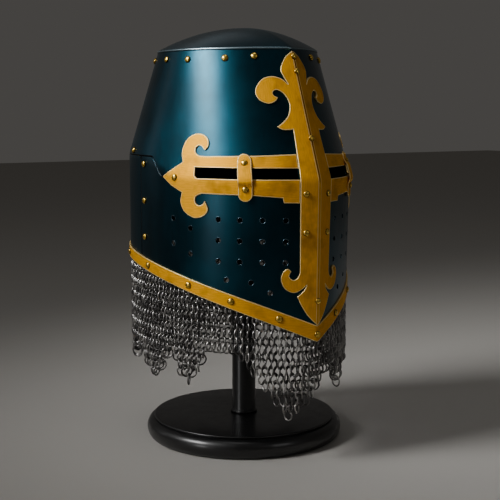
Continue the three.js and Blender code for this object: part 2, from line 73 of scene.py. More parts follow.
def hex_colour(code: str) -> tuple[float, float, float, float]:
    """Turns an sRGB hex code into a linear colour.

    Args:
        code: six hex digits.

    Returns:
        Linear red, green and blue, and an alpha of 1.
    """
    channels = [int(code[i : i + 2], 16) / 255 for i in (0, 2, 4)]
    red, green, blue = (c / 12.92 if c <= 0.04045 else ((c + 0.055) / 1.055) ** 2.4 for c in channels)
    return red, green, blue, 1.0


def add_node(
    tree: Tree, kind: str, settings: dict[str, object] | None = None, links: Links | None = None
) -> Node:
    """Adds a node with its settings and links.

    Args:
        tree: the node tree.
        kind: the node's type name.
        settings: attributes of the node by name, set before the sockets are looked up.
        links: input sockets by name or index, each with a source socket or a plain value.

    Returns:
        The new node.
    """
    node = tree.nodes.new(kind)
    for name, value in (settings or {}).items():
        setattr(node, name, value)
    for key, source in (links or {}).items():
        socket = node.inputs[key]
        if isinstance(source, Socket):
            tree.links.new(source, socket)
        else:
            socket.default_value = source
    return node


def spread(low: float, high: float, step: float) -> Array:
    """Even stations from low to high, no further apart than step."""
    return np.linspace(low, high, max(2, int(math.ceil((high - low) / step)) + 1))


def smooth_step(value: Array, low: float, high: float) -> Array:
    """Cubic step from 0 at low to 1 at high."""
    t = np.clip((value - low) / (high - low), 0, 1)
    return t * t * (3 - 2 * t)


def no_lift(along: Array, height: Array) -> Array:
    """The offset of a surface that follows the wall."""
    return np.zeros_like(along)


def unit(vectors: Array) -> Array:
    """Rows scaled to length one."""
    return vectors / np.maximum(np.linalg.norm(vectors, axis=-1, keepdims=True), TINY)


# Meshes


@dataclass
class MeshDraft:
    """Points, faces and point attributes of a piece before it is an object.

    Attributes:
        points: positions in millimetres.
        faces: corner indices of each face.
        normals: a normal for each point, or None for the mesh's own.
        values: named attributes, one number or vector for each point.
        second: how many of the first faces take the first material; the rest take the second.
    """

    points: Array
    faces: list[Sequence[int]]
    normals: Array | None = None
    values: dict[str, Array] = field(default_factory=dict)
    second: int | None = None

    def welded(self) -> "MeshDraft":
        """Joins points that share a place and drops those that no face uses.

        Returns:
            A draft in which each place has one point.
        """
        used = np.zeros(len(self.points), bool)
        for face in self.faces:
            used[list(face)] = True
        keep = np.nonzero(used)[0]
        keys = np.round(self.points[keep], 4)
        _, first, inverse = np.unique(keys, axis=0, return_index=True, return_inverse=True)
        renamed = np.full(len(self.points), -1)
        renamed[keep] = inverse.ravel()
        source = keep[first]
        faces: list[Sequence[int]] = []
        second = 0
        for i, face in enumerate(self.faces):
            corners = [int(renamed[c]) for c in face]
            corners = [c for j, c in enumerate(corners) if c != corners[j - 1]]
            if len(set(corners)) > 2 and len(set(corners)) == len(corners):
                faces.append(corners)
                second += self.second is not None and i < self.second
        return MeshDraft(
            self.points[source],
            faces,
            None if self.normals is None else self.normals[source],
            {name: value[source] for name, value in self.values.items()},
            second if self.second is not None else None,
        )

    def make(self, name: str, sharp: float | None = None) -> Piece:
        """Writes the draft as an object in the scene.

        Args:
            name: the object's name.
            sharp: edges that turn by more than this angle, in degrees, are sharp.

        Returns:
            The object, at the origin, in metres.
        """
        mesh = bpy.data.meshes.new(name)
        mesh.from_pydata((self.points * MM).tolist(), [], self.faces)
        mesh.shade_smooth()
        for label, value in self.values.items():
            kind = "FLOAT" if value.ndim == 1 else "FLOAT_VECTOR"
            field_name = "value" if value.ndim == 1 else "vector"
            layer = mesh.attributes.new(label, kind, "POINT")
            layer.data.foreach_set(field_name, value.astype(np.float32).ravel())
        if self.second is not None:
            index = np.zeros(len(self.faces), np.int32)
            index[self.second :] = 1
            mesh.polygons.foreach_set("material_index", index)
        if self.normals is not None:
            mesh.normals_split_custom_set_from_vertices(unit(self.normals).tolist())
        elif sharp is not None:
            mesh.set_sharp_from_angle(angle=math.radians(sharp))
        mesh.update()
        piece = bpy.data.objects.new(name, mesh)
        bpy.context.collection.objects.link(piece)
        return piece


def ring_faces(start: int, following: int, count: int) -> list[tuple[int, int, int, int]]:
    """Faces between two closed rings of count points, given the index of each ring's first."""
    turn = [(j, (j + 1) % count) for j in range(count)]
    return [(start + j, following + j, following + k, start + k) for j, k in turn]


def turned(profile: Array, segments: int) -> MeshDraft:
    """Turns a profile about the upright axis, closed at both ends on the axis.

    Args:
        profile: rows of radius and height, from the middle of the underside outwards and up
            to the middle of the top.
        segments: faces round the axis.

    Returns:
        A closed draft.
    """
    angles = np.arange(segments) * 2 * math.pi / segments
    rings = [
        np.column_stack([r * np.cos(angles), r * np.sin(angles), np.full(segments, z)])
        for r, z in profile[1:-1]
    ]
    first = np.array([[0.0, 0.0, profile[0][1]]])
    last = np.array([[0.0, 0.0, profile[-1][1]]])
    points = np.vstack([first, *rings, last])
    faces: list[Sequence[int]] = [(0, 1 + (j + 1) % segments, 1 + j) for j in range(segments)]
    for i in range(len(rings) - 1):
        here = 1 + i * segments
        faces += [tuple(reversed(f)) for f in ring_faces(here, here + segments, segments)]
    end = 1 + (len(rings) - 1) * segments
    faces += [(end + j, end + (j + 1) % segments, len(points) - 1) for j in range(segments)]
    return MeshDraft(points, faces)


def hand_over(piece: Piece, nodes: Sequence[str], finishes: Sequence[Material]) -> None:
    """Dresses a piece, puts it in the place of its nodes and reports it.

    Args:
        piece: the finished object.
        nodes: the nodes that it stands for.
        finishes: materials for the piece's slots, in order.
    """
    piece.data.materials.clear()
    for finish in finishes:
        piece.data.materials.append(finish)
    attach(piece, BODY)
    if nodes:
        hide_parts(*nodes)
    piece.data.calc_loop_triangles()
    LOG.info("%s: %d triangles", piece.name, len(piece.data.loop_triangles))


# The shell's shape


@dataclass(frozen=True)
class Section:
    """The wall's outline at one level.

    Attributes:
        height: how high the level is.
        front, back: distance from the middle to the keel and to the nape.
        side: how far behind the middle the wall is widest.
        width: its greatest width.
        wing: angle of the faces beside the keel, in degrees.
    """

    height: float
    front: float
    back: float
    side: float
    width: float
    wing: float


class Level(Enum):
    """The levels that give the shell its shape."""

    RIM = Section(419.5, 93.5, 97.5, 16.0, 166.0, 22.0)
    BEND = Section(291.0, 145.0, 140.0, 18.0, 222.0, 18.0)
    FOOT = Section(128.5, 142.5, 140.0, 18.0, 221.0, 25.0)
    HEM = Section(20.0, 135.0, 138.0, 18.0, 219.0, 6.0)

    @property
    def height(self) -> float:
        """The level's height."""
        return self.value.height


class Side(Enum):
    """The wearer's sides, with the sign of X."""

    RIGHT = -1
    LEFT = 1

    @property
    def word(self) -> str:
        """The side's name in lower case."""
        return self.name.lower()


@dataclass
class Shell:
    """The keeled oval wall that every plate follows.

    Attributes:
        keel_pull, cheek_pull, nape_pull, back_pull: how far the oval's handles reach.
        climb_from, climb_to, climb: where the joint between the plates climbs behind the cross,
            and how far.
        ease_from, ease_to: where the wall's bend climbs with it, more gently.
        keel_round: half width of the rounding of the keel.
        bend_round: half height of the rounding of the bend.
        mail_from, hem_round: height from which the mail's surface changes towards the hem's
            outline, and how much rounder its fold is there.
        stations: points on each quarter of a measured outline.
        plan_step, face_step: half the spans over which a wall's directions are measured.
        front_length, half_girth: length of the bend line from the keel to the side and the back.
    """

    keel_pull: float = 0.505
    cheek_pull: float = 0.565
    nape_pull: float = 0.544
    back_pull: float = 0.711
    climb_from: float = 174.0
    climb_to: float = 198.0
    climb: float = 20.0
    ease_from: float = 145.0
    ease_to: float = 222.0
    keel_round: float = 2.2
    bend_round: float = 4.5
    mail_from: float = 190.0
    hem_round: float = 6.0
    stations: int = 2001
    plan_step: float = 0.3
    face_step: float = 0.25
    front_length: float = field(init=False)
    half_girth: float = field(init=False)

    def __post_init__(self) -> None:
        """Measures the bend line, which gives every level its stations."""
        self._share = np.linspace(0, 1, self.stations)
        lines = [self._curve(Level.BEND, quarter, self._share) for quarter in (0, 1)]
        self._steps = [np.r_[0, np.cumsum(np.hypot(*np.diff(line, axis=0).T))] for line in lines]
        self.front_length = self._steps[0][-1]
        self.half_girth = self.front_length + self._steps[1][-1]

    def _curve(self, level: Level, quarter: int, share: Array) -> Array:
        """Points of a level's front or back quarter.

        Args:
            level: the level.
            quarter: 0 for the front, 1 for the back.
            share: curve parameters from 0 to 1.

        Returns:
            Plan positions on the +X side.
        """
        cut = level.value
        half = cut.width / 2
        if quarter == 0:
            slope = math.radians(cut.wing)
            reach = self.keel_pull * half
            controls = [
                (0, -cut.front),
                (reach * math.cos(slope), reach * math.sin(slope) - cut.front),
                (half, cut.side - self.cheek_pull * (cut.side + cut.front)),
                (half, cut.side),
            ]
        else:
            controls = [
                (half, cut.side),
                (half, cut.side + self.nape_pull * (cut.back - cut.side)),
                (self.back_pull * half, cut.back),
                (0, cut.back),
            ]
        a, b, c, d = (np.array(p, float) for p in controls)
        t = np.asarray(share, float)[..., None]
        return (1 - t) ** 3 * a + 3 * (1 - t) ** 2 * t * b + 3 * (1 - t) * t**2 * c + t**3 * d

    def wrapped(self, along: Array) -> Array:
        """The same places with along between minus and plus half the girth."""
        girth = 2 * self.half_girth
        return (np.asarray(along, float) + self.half_girth) % girth - self.half_girth

    def level_at(self, level: Level, distance: Array) -> Array:
        """Plan position of a level on the +X side.

        Args:
            level: the level.
            distance: distances from the keel along the bend line.

        Returns:
            Plan positions, with one more axis of two.
        """
        front = np.interp(distance, self._steps[0], self._share)
        back = np.interp(distance - self.front_length, self._steps[1], self._share)
        is_front = (distance <= self.front_length)[..., None]
        return np.where(is_front, self._curve(level, 0, front), self._curve(level, 1, back))

    def _climbed(self, along: Array, start: float, end: float) -> Array:
        """Height of a line that runs level at the bend and climbs from start to end."""
        return Level.BEND.height + self.climb * smooth_step(np.abs(self.wrapped(along)), start, end)

    def seam(self, along: Array) -> Array:
        """Height of the joint between the skull and the lower plates."""
        return self._climbed(along, self.climb_from, self.climb_to)

    def bend(self, along: Array) -> Array:
        """Height of the bend in the wall."""
        return self._climbed(along, self.ease_from, self.ease_to)

    def _eased(self, rise: Array) -> Array:
        """The rise above the bend line, with its start rounded."""
        k = self.bend_round
        return np.where(rise >= k, rise, np.where(rise <= -k, 0, (rise + k) ** 2 / (4 * k)))

    def wall_plan(self, along: Array, height: Array) -> Array:
        """Plan position of the plates' outside.

        Args:
            along: distances round the wall.
            height: heights, of the same shape.

        Returns:
            Plan positions, with one more axis of two.
        """
        place = self.wrapped(along)
        near = np.abs(place)
        k = self.keel_round
        soft = np.where(near < k, (near**2 + k**2) / (2 * k), near)
        bend_height = self.bend(along)
        up = self._eased(height - bend_height) / (Level.RIM.height - bend_height)
        down = self._eased(bend_height - height) / (Level.BEND.height - Level.FOOT.height)
        result = []
        for distance, axis in ((near, 0), (soft, 1)):
            bend = self.level_at(Level.BEND, distance)[..., axis]
            rim = self.level_at(Level.RIM, distance)[..., axis]
            foot = self.level_at(Level.FOOT, distance)[..., axis]
            result.append(bend + up * (rim - bend) + down * (foot - bend))
        result[0] = result[0] * np.sign(place)
        return np.stack(result, axis=-1)

    def mail_plan(self, along: Array, height: Array) -> Array:
        """Plan position of the surface that the mail hangs on, rounder towards its hem.

        Args:
            along: distances round the wall.
            height: heights, of the same shape.

        Returns:
            Plan positions, with one more axis of two.
        """
        place = self.wrapped(along)
        near = np.abs(place)
        drop = np.clip((self.mail_from - height) / (self.mail_from - Level.HEM.height), 0, 1)[..., None]
        soft = np.sqrt(near**2 + self.hem_round**2 * drop[..., 0])
        foot, hem = (
            np.stack([self.level_at(level, near)[..., 0], self.level_at(level, soft)[..., 1]], axis=-1)
            for level in (Level.FOOT, Level.HEM)
        )
        flat = foot * (1 - drop) + hem * drop
        flat[..., 0] *= np.sign(place)
        return flat

    def place(self, along: Array, height: Array, out: Array | float = 0.0, mail: bool = False) -> Array:
        """Points on a wall, moved level and square to it.

        Args:
            along: distances round the wall.
            height: heights.
            out: how far each point is moved outwards.
            mail: True for the mail's surface.

        Returns:
            Positions in millimetres.
        """
        along, height, out = np.broadcast_arrays(
            np.asarray(along, float), np.asarray(height, float), np.asarray(out, float)
        )
        plan = self.mail_plan if mail else self.wall_plan
        side = unit(plan(along + self.plan_step, height) - plan(along - self.plan_step, height))
        outward = np.stack([side[..., 1], -side[..., 0]], axis=-1)
        flat = plan(along, height) + out[..., None] * outward
        return np.concatenate([flat, height[..., None]], axis=-1)

    def axes(
        self, along: Array, height: Array, lift: Offset = no_lift, mail: bool = False
    ) -> tuple[Array, Array, Array]:
        """Directions at points of a wall.

        Args:
            along: distances round the wall.
            height: heights.
            lift: the surface's distance from the wall, as a function of both.
            mail: True for the mail's surface.

        Returns:
            Unit vectors along the wall, up it and square out of it.
        """
        step = self.face_step

        def span(da: float, dh: float) -> Array:
            """The surface's point a little further along and up."""
            return self.place(along + da, height + dh, lift(along + da, height + dh), mail)

        level = unit(span(step, 0) - span(-step, 0))
        upward = unit(span(0, step) - span(0, -step))
        return level, upward, unit(np.cross(level, upward))


SHELL = Shell()


# Bent sheets


class Turn(Enum):
    """How an outline passes one of its points."""

    CORNER = "corner"
    ROUND = "round"


def on_curve(p0: Array, p1: Array, p2: Array, p3: Array, t: float) -> Array:
    """The point at share t of the smooth curve from p1 to p2, which comes from p0 and goes on to p3."""
    v0, v1 = (p2 - p0) / 2, (p3 - p1) / 2
    return (2 * p1 - 2 * p2 + v0 + v1) * t**3 + (-3 * p1 + 3 * p2 - 2 * v0 - v1) * t**2 + v0 * t + p1


def loop_from_rows(
    rows: Sequence[tuple[float, float, Turn]], step: float = 1.4, straight: float = 3.0
) -> Array:
    """Points of an outline from rows of along, height and turn.

    Args:
        rows: corners and the points that round stretches run through.
        step: spacing of the points on round stretches.
        straight: spacing of the points on straight ones.

    Returns:
        Points of the open outline, both ends included.
    """
    points: list[Array] = []
    stretch: list[Array] = []
    for along, height, turn in rows:
        stretch.append(np.array([along, height], float))
        last = len(stretch) - 1
        if turn is Turn.ROUND or last == 0:
            continue
        gap = straight if last == 1 else step
        for i in range(last):
            p1, p2 = stretch[i], stretch[i + 1]
            p0, p3 = stretch[max(i - 1, 0)], stretch[min(i + 2, last)]
            pieces = max(1, int(math.ceil(np.linalg.norm(p2 - p1) / gap)))
            for t in np.arange(pieces) / pieces:
                points.append(p1 + t * (p2 - p1) if last == 1 else on_curve(p0, p1, p2, p3, t))
        stretch = [stretch[-1]]
    points.extend(stretch)
    return np.array(points)


def runs_clockwise(loop: Array) -> bool:
    """True if the loop runs clockwise."""
    x, y = loop.T
    return float(np.sum(x * np.roll(y, -1) - np.roll(x, -1) * y)) < 0


def inside(points: Array, loops: Sequence[Array]) -> Array:
    """Which points lie in the material between the loops, by the even-odd rule.

    Args:
        points: rows of two coordinates.
        loops: closed loops of points.

    Returns:
        One truth value for each point.
    """
    result = np.zeros(len(points), bool)
    x, y = points[:, 0:1], points[:, 1:2]
    for loop in loops:
        x1, y1 = loop.T
        x2, y2 = np.roll(loop, -1, axis=0).T
        crosses = (y1 > y) != (y2 > y)
        rise = np.where(y2 == y1, TINY, y2 - y1)
        result ^= (np.sum(crosses & (x < (x2 - x1) * (y - y1) / rise + x1), axis=1) % 2).astype(bool)
    return result


def gap_to_loops(points: Array, loops: Sequence[Array], reach: float = 4.0, batch: int = 2000) -> Array:
    """Distance from each point to the nearest loop.

    Args:
        points: rows of two coordinates.
        loops: closed loops of points.
        reach: how far outside a loop's box points are still measured.
        batch: how many points are measured at once.

    Returns:
        One distance for each point, infinite where it wasn't measured.
    """
    best = np.full(len(points), np.inf)
    for loop in loops:
        low, high = loop.min(0) - reach, loop.max(0) + reach
        near = np.nonzero(np.all((points > low) & (points < high), axis=1))[0]
        if not len(near):
            continue
        start, end = loop, np.roll(loop, -1, axis=0)
        edge = end - start
        size = np.maximum((edge**2).sum(1), TINY)
        for chunk in np.array_split(near, max(1, len(near) // batch)):
            offset = points[chunk][:, None, :] - start[None]
            t = np.clip((offset * edge[None]).sum(2) / size, 0, 1)
            gap = np.linalg.norm(offset - t[..., None] * edge[None], axis=2).min(1)
            best[chunk] = np.minimum(best[chunk], gap)
    return best


@dataclass(frozen=True)
class EdgeRing:
    """A ring of points round an edge: inset, depth, lean of its normals in degrees, and the strength of its
    wear, grime and painted light.
    """

    inset: float
    depth: float
    lean: float
    wear: float


@dataclass
class BentSheet:
    """A sheet with outline and holes, bent round the wall, with rounded edges.

    Attributes:
        outline: the outer loop in wall coordinates.
        inner, outer: how far the two faces are outside the wall.
        holes: loops of the openings.
        bevel: radius of the outer face's edges.
        worn: width of the strip beside the edges over which their wear, grime and painted light fade.
        column_gap, row_gap: spacing of the points between the edges.
        extra_columns: further stations, such as beside the keel.
        heights: further heights wanted at a station.
        lift: how far the sheet stands off, as a function of both coordinates.
        ring: True if the sheet closes on itself behind.
        inner_bevel: radius of the inner face's edges.
        wear: how strongly the edges are worn and painted bright as a highlight, from 0 to 1, or down to -1
            for how dark grime and painted shade make them.
        columns_apart, rows_apart, edge_apart: least distances between stations, between heights
            as a share of the row gap, and to the edges.
        mitre_least: limit that keeps the inset of a sharp point short.
        tolerance: distance under which places count as one.
    """

    outline: Array
    inner: float
    outer: float
    holes: Sequence[Array] = ()
    bevel: float = 0.5
    worn: float = 0.65
    column_gap: float = 4.0
    row_gap: float = 5.0
    extra_columns: Sequence[float] = ()
    heights: Callable[[Array], Array] | None = None
    lift: Offset = no_lift
    ring: bool = False
    inner_bevel: float = 0.2
    wear: float = 1.0
    columns_apart: float = 0.35
    rows_apart: float = 0.35
    edge_apart: float = 0.7
    mitre_least: float = 0.35
    tolerance: float = 1e-6

    def _joins(self, loop: Array) -> tuple[Array, Array]:
        """Finds where a loop runs along the line behind, on which a ring closes on itself.

        Args:
            loop: a closed loop.

        Returns:
            Which points are on that line, and from which the loop goes on along it.
        """
        on_line = self.ring & (np.abs(np.abs(loop[:, 0]) - SHELL.half_girth) < self.tolerance)
        return on_line, on_line & np.roll(on_line, -1)

    def _spread_out(self, loop: Array) -> Array:
        """Directions, with mitred lengths, in which each corner of a loop leaves the material.

        Args:
            loop: a closed loop with the material on its left.

        Returns:
            One direction for each point.
        """
        ahead = unit(np.roll(loop, -1, axis=0) - loop)
        normals = np.column_stack([ahead[:, 1], -ahead[:, 0]])
        on_line, joins = self._joins(loop)
        normals[joins] = 0
        before = np.roll(normals, 1, axis=0)
        mitre = (normals + before) / np.maximum(
            1 + (normals * before).sum(1, keepdims=True), self.mitre_least
        )
        mitre[on_line, 0] = 0
        mitre[on_line, 1] = np.sign(mitre[on_line, 1])
        return mitre

    def _grid(self, loops: Sequence[Array]) -> Array:
        """Points between the edges.

        Args:
            loops: the edges of the flat face.

        Returns:
            Rows of wall coordinates.
        """
        low, high = self.outline.min(0), self.outline.max(0)
        columns = np.unique(
            np.round(np.r_[spread(low[0], high[0], self.column_gap), np.array(self.extra_columns)], 4)
        )
        columns = columns[np.r_[True, np.diff(columns) > self.columns_apart]]
        rows = spread(low[1], high[1], self.row_gap)
        a, h = np.meshgrid(columns, rows, indexing="ij")
        parts = [np.column_stack([a.ravel(), h.ravel()])]
        if self.heights is not None:
            wanted = self.heights(columns)
            gap = np.abs(h.ravel()[:, None] - np.repeat(wanted, len(rows), axis=0))
            parts[0] = parts[0][gap.min(1) > self.rows_apart * self.row_gap]
            parts.insert(0, np.column_stack([np.repeat(columns, wanted.shape[1]), wanted.ravel()]))
        points = np.vstack(parts)
        points = points[(points[:, 0] > low[0]) & (points[:, 0] < high[0])]
        points = points[inside(points, loops)]
        return points[gap_to_loops(points, loops) > self.edge_apart]

    def _edge_rings(self) -> list[EdgeRing]:
        """The rings from the face round the edge to the inner side, one after another.

        Returns:
            The rings. The first is the edge of the flat face and the last that of the inner one.
        """
        slant = math.radians(45)
        thick = self.outer - self.inner
        half_inset = self.bevel * (1 - math.sin(slant))
        half_depth = self.bevel * (1 - math.cos(slant))
        # Inset, depth, lean, and strength of wear, grime and painted light
        return [
            EdgeRing(self.bevel + self.worn, 0.0, 0.0, 0.0),
            EdgeRing(self.bevel, 0.0, 0.0, 1.0),
            EdgeRing(half_inset, half_depth, 45.0, 1.0),
            EdgeRing(0.0, self.bevel, 90.0, 1.0),
            EdgeRing(0.0, thick - self.inner_bevel, 90.0, 0.4),
            EdgeRing(self.inner_bevel, thick, 180.0, 0.0),
        ]

    def _face(self, loops: Sequence[Array]) -> tuple[Array, Array, dict[int, int]]:
        """Triangulates the material between the loops.

        Args:
            loops: the edges of the flat face.

        Returns:
            The points in wall coordinates, the triangles, all turned the same way, and which
            point each point of the loops became.
        """
        edges, start = [], 0
        for loop in loops:
            count = len(loop)
            edges += [(start + i, start + (i + 1) % count) for i in range(count)]
            start += count
        places = [Vector(p) for p in np.vstack([*loops, self._grid(loops)]).tolist()]
        verts, _, faces, origin = delaunay_2d_cdt(places, edges, [], 0, self.tolerance, True)[:4]
        points = np.array([tuple(v) for v in verts])
        triangles = np.array([tuple(f) for f in faces])
        triangles = triangles[inside(points[triangles].mean(axis=1), loops)]
        corner = points[triangles]
        turn = np.cross(corner[:, 1] - corner[:, 0], corner[:, 2] - corner[:, 0])
        triangles[turn < 0] = triangles[turn < 0][:, ::-1]
        return points, triangles, {source: i for i, sources in enumerate(origin) for source in sources}

    def draft(self) -> MeshDraft:
        """Builds the sheet.

        Returns:
            A closed draft with normals, wall coordinates, and edges marked for wear, grime and painted light.
            Faces of the inner side come last, so that they can take a second material.
        """
        loops = [np.array(loop, float) for loop in (self.outline, *self.holes)]
        loops = [loop[::-1] if runs_clockwise(loop) != (i > 0) else loop for i, loop in enumerate(loops)]
        ways = [self._spread_out(loop) for loop in loops]
        rings = self._edge_rings()
        flat, triangles, ours = self._face([loop - rings[0].inset * way for loop, way in zip(loops, ways)])
        inner, unmoved = flat.copy(), np.zeros_like(flat)
        layers = [(rings[0], flat, unmoved)]
        walls: list[Sequence[int]] = []
        inner_edge: dict[int, int] = {}
        total, start = len(flat), 0
        for loop, way in zip(loops, ways):
            count = len(loop)
            previous = first = [ours[start + i] for i in range(count)]
            inner[first] = loop - rings[-1].inset * way
            joins = self._joins(loop)[1]
            for ring in rings[1:]:
                layers.append((ring, loop - ring.inset * way, unit(way)))
                here = list(range(total, total + count))
                for i in np.nonzero(~joins)[0]:
                    k = (i + 1) % count
                    walls.append((previous[i], here[i], here[k], previous[k]))
                previous, total = here, total + count
            inner_edge.update(zip(first, previous))
            start += count
        layers.append((rings[-1], inner, unmoved))
        back_side = [[inner_edge.get(c, total + c) for c in reversed(face)] for face in triangles.tolist()]

        sizes = [len(place) for _, place, _ in layers]
        depth, lean, wear = (
            np.repeat([getattr(ring, label) for ring, _, _ in layers], sizes)
            for label in ("depth", "lean", "wear")
        )
        along, height = np.vstack([place for _, place, _ in layers]).T
        points = SHELL.place(along, height, self.outer - depth + self.lift(along, height))
        level, upward, square = SHELL.axes(along, height, self.lift)
        way = np.vstack([way for _, _, way in layers])
        sideways = unit(way[:, :1] * level + way[:, 1:] * upward + 1e-9)
        lean = np.radians(lean)[:, None]
        # The edge mark: wear and a painted highlight where it is positive, grime and painted shade where it
        # is negative
        draft = MeshDraft(
            points,
            triangles.tolist() + walls + back_side,
            np.cos(lean) * square + np.sin(lean) * sideways,
            {"wall": np.column_stack([along, height, depth]) * MM, "worn": self.wear * wear},
            len(triangles) + len(walls),
        )
        return draft.welded()


KEEL_COLUMNS = tuple(float(s * d) for d in (0.0, 0.5, 1.0, 1.6, 2.2, 3.2) for s in (-1, 1))
CLIMB_STATIONS = np.arange(SHELL.climb_from - 1.0, SHELL.climb_to + 1.6, 1.2)
CLIMB_COLUMNS = tuple(float(s * d) for d in CLIMB_STATIONS for s in (-1, 1))


def with_climb(marks: Array) -> Array:
    """Stations along an edge, with more of them where the bend line climbs."""
    inner = [c for c in CLIMB_COLUMNS if marks.min() < c < marks.max()]
    return np.unique(np.r_[marks, inner])


# Finishes


class Grain(Enum):
    """The way a sheet was brushed, as stretches along and up the wall."""

    ALONG = (1.0, 12.0)
    UPWARD = (12.0, 1.0)


# A row of limits for a Map Range node: the value, its range and the range it is taken to
Limits = tuple[object, float, float, float, float]
# A colour laid over others, with the limits whose product is its share
Layer = tuple[str, Sequence[Limits]]
# A pattern repeats in a metre as often as its size in millimetres goes into this
METRE = 1000.0


class Finish:
    """A surface finish. Each kind has its own fields and nodes."""

    label: str

    def _shader(self, tree: Tree) -> Node:
        """Adds the finish's nodes and returns its shader; each finish has its own."""
        raise NotImplementedError

    def _laid_over(self, tree: Tree, lowest: str, layers: Sequence[Layer]) -> Socket:
        """Lays colours over one another.

        Args:
            tree: the material's tree.
            lowest: hex code of the lowest colour.
            layers: the colours over it, from the lowest up.

        Returns:
            The mixed colour.
        """
        colour: object = hex_colour(lowest)
        for code, factors in layers:
            share: object = 1.0
            for limits in factors:
                part = add_node(tree, "ShaderNodeMapRange", None, dict(enumerate(limits))).outputs[0]
                product = add_node(tree, "ShaderNodeMath", {"operation": "MULTIPLY"}, {0: share, 1: part})
                share = product.outputs[0]
            links = {0: share, 6: colour, 7: hex_colour(code)}
            colour = add_node(tree, "ShaderNodeMix", {"data_type": "RGBA"}, links).outputs[2]
        return colour

    def make(self) -> Material:
        """Builds the material.

        Returns:
            The material, with its shader joined to the output.
        """
        material = bpy.data.materials.new(self.label)
        material.use_nodes = True
        tree = material.node_tree
        tree.nodes.clear()
        add_node(tree, "ShaderNodeOutputMaterial", None, {"Surface": self._shader(tree).outputs[0]})
        return material


@dataclass(frozen=True)
class TealLacquer(Finish):
    """Tinted baking lacquer over smooth sheet steel.

    The steel shines through the tint, so a broad highlight is pale blue and falls off fast into a very deep
    teal. Planishing along the plates leaves faint upright streaks in it. Where the crown's rolled rim is worn
    it is painted pale steel, which also paints a highlight line along the rim, and grime and painted shade
    darken the plates' edges and the steps and laps of their seams.
    """

    label: str = "teal_lacquer_on_steel"
    tint: str = "0A4050"
    deep: str = "042E3A"
    steel: str = "A9BCC4"
    grime_and_shade: str = "030405"
    streak_mm: float = 2.2
    streak_long_mm: float = 1000 / 14
    cloud_mm: float = 60.0
    roughness: Range = (0.31, 0.38)
    coat: float = 0.3
    coat_roughness: float = 0.26
    rub_and_highlight: float = 0.8
    grime_and_shade_share: float = 0.95

    def _shader(self, tree: Tree) -> Node:
        """Adds the lacquer's nodes.

        Args:
            tree: the material's tree.

        Returns:
            The shader.
        """
        where = add_node(tree, "ShaderNodeTexCoord").outputs["Object"]
        cloud = add_node(
            tree, "ShaderNodeTexNoise", None,
            {"Vector": where, "Scale": METRE / self.cloud_mm, "Detail": 3.0, "Roughness": 0.5},
        ).outputs[0]
        fine = METRE / self.streak_mm
        upright = add_node(
            tree, "ShaderNodeMapping", None,
            {"Vector": where, "Scale": (fine, fine, METRE / self.streak_long_mm)},
        ).outputs[0]
        streak = add_node(
            tree, "ShaderNodeTexNoise", None,
            {"Vector": upright, "Scale": 1.0, "Detail": 3.0, "Roughness": 0.5},
        ).outputs[0]
        worn = add_node(tree, "ShaderNodeAttribute", {"attribute_name": "worn"}).outputs["Fac"]
        layers = [
            (self.deep, [(cloud, 0.35, 0.65, 0, 1)]),
            # Pale steel where edges are worn; on the crown's rim this also paints a highlight line
            (self.steel, [(worn, 0.0, 1.0, 0, self.rub_and_highlight)]),
            # Grime and painted shade darken the plates' edges and the steps and laps of their seams
            (self.grime_and_shade, [(worn, -0.6, -0.1, self.grime_and_shade_share, 0)]),
        ]
        gloss: Limits = (streak, 0.3, 0.7, *self.roughness)
        rough = add_node(tree, "ShaderNodeMapRange", None, dict(enumerate(gloss)))
        bump = add_node(
            tree, "ShaderNodeBump", None, {"Strength": 0.05, "Distance": 0.0001, "Height": streak}
        )
        return add_node(
            tree, "ShaderNodeBsdfPrincipled", None,
            {
                "Base Color": self._laid_over(tree, self.tint, layers),
                "Metallic": 1.0,
                "Roughness": rough.outputs[0],
                "Normal": bump.outputs[0],
                "Coat Weight": self.coat,
                "Coat Roughness": self.coat_roughness,
            },
        )


@dataclass(frozen=True)
class Patched(Finish):
    """A finish with soft patches of a second colour.

    Attributes:
        label: the material's name.
        main, second: its colours.
        patch_mm: size of the patches.
        detail, grit: how finely they are broken up.
        window: pattern values between which the second colour comes in.
        most: the largest share of the second colour.
        gloss_window: pattern values between which the roughness changes.
        roughness: from the first to the last of them.
        metallic, coat, coat_roughness: as for the shader.
    """

    label: str
    main: str
    second: str
    patch_mm: float
    detail: float
    grit: float
    window: Range
    roughness: Range
    most: float = 1.0
    gloss_window: Range = (0.3, 0.7)
    metallic: float = 1.0
    coat: float = 0.0
    coat_roughness: float = 0.03

    def _layers(self, tree: Tree, patch: Socket) -> list[Layer]:
        """The colours over the main one, of which the last follows the patches."""
        return [(self.second, [(patch, *self.window, 0, self.most)])]

    def _shader(self, tree: Tree) -> Node:
        """Adds the finish's nodes.

        Args:
            tree: the material's tree.

        Returns:
            The shader node.
        """
        where = add_node(tree, "ShaderNodeTexCoord").outputs["Object"]
        patch = add_node(
            tree, "ShaderNodeTexNoise", None,
            {"Vector": where, "Scale": METRE / self.patch_mm, "Detail": self.detail, "Roughness": self.grit},
        ).outputs[0]
        gloss: Limits = (patch, *self.gloss_window, *self.roughness)
        rough = add_node(tree, "ShaderNodeMapRange", None, dict(enumerate(gloss))).outputs[0]
        return add_node(
            tree, "ShaderNodeBsdfPrincipled", None,
            {
                "Base Color": self._laid_over(tree, self.main, self._layers(tree, patch)),
                "Metallic": self.metallic,
                "Roughness": rough,
                "Coat Weight": self.coat,
                "Coat Roughness": self.coat_roughness,
            },
        )


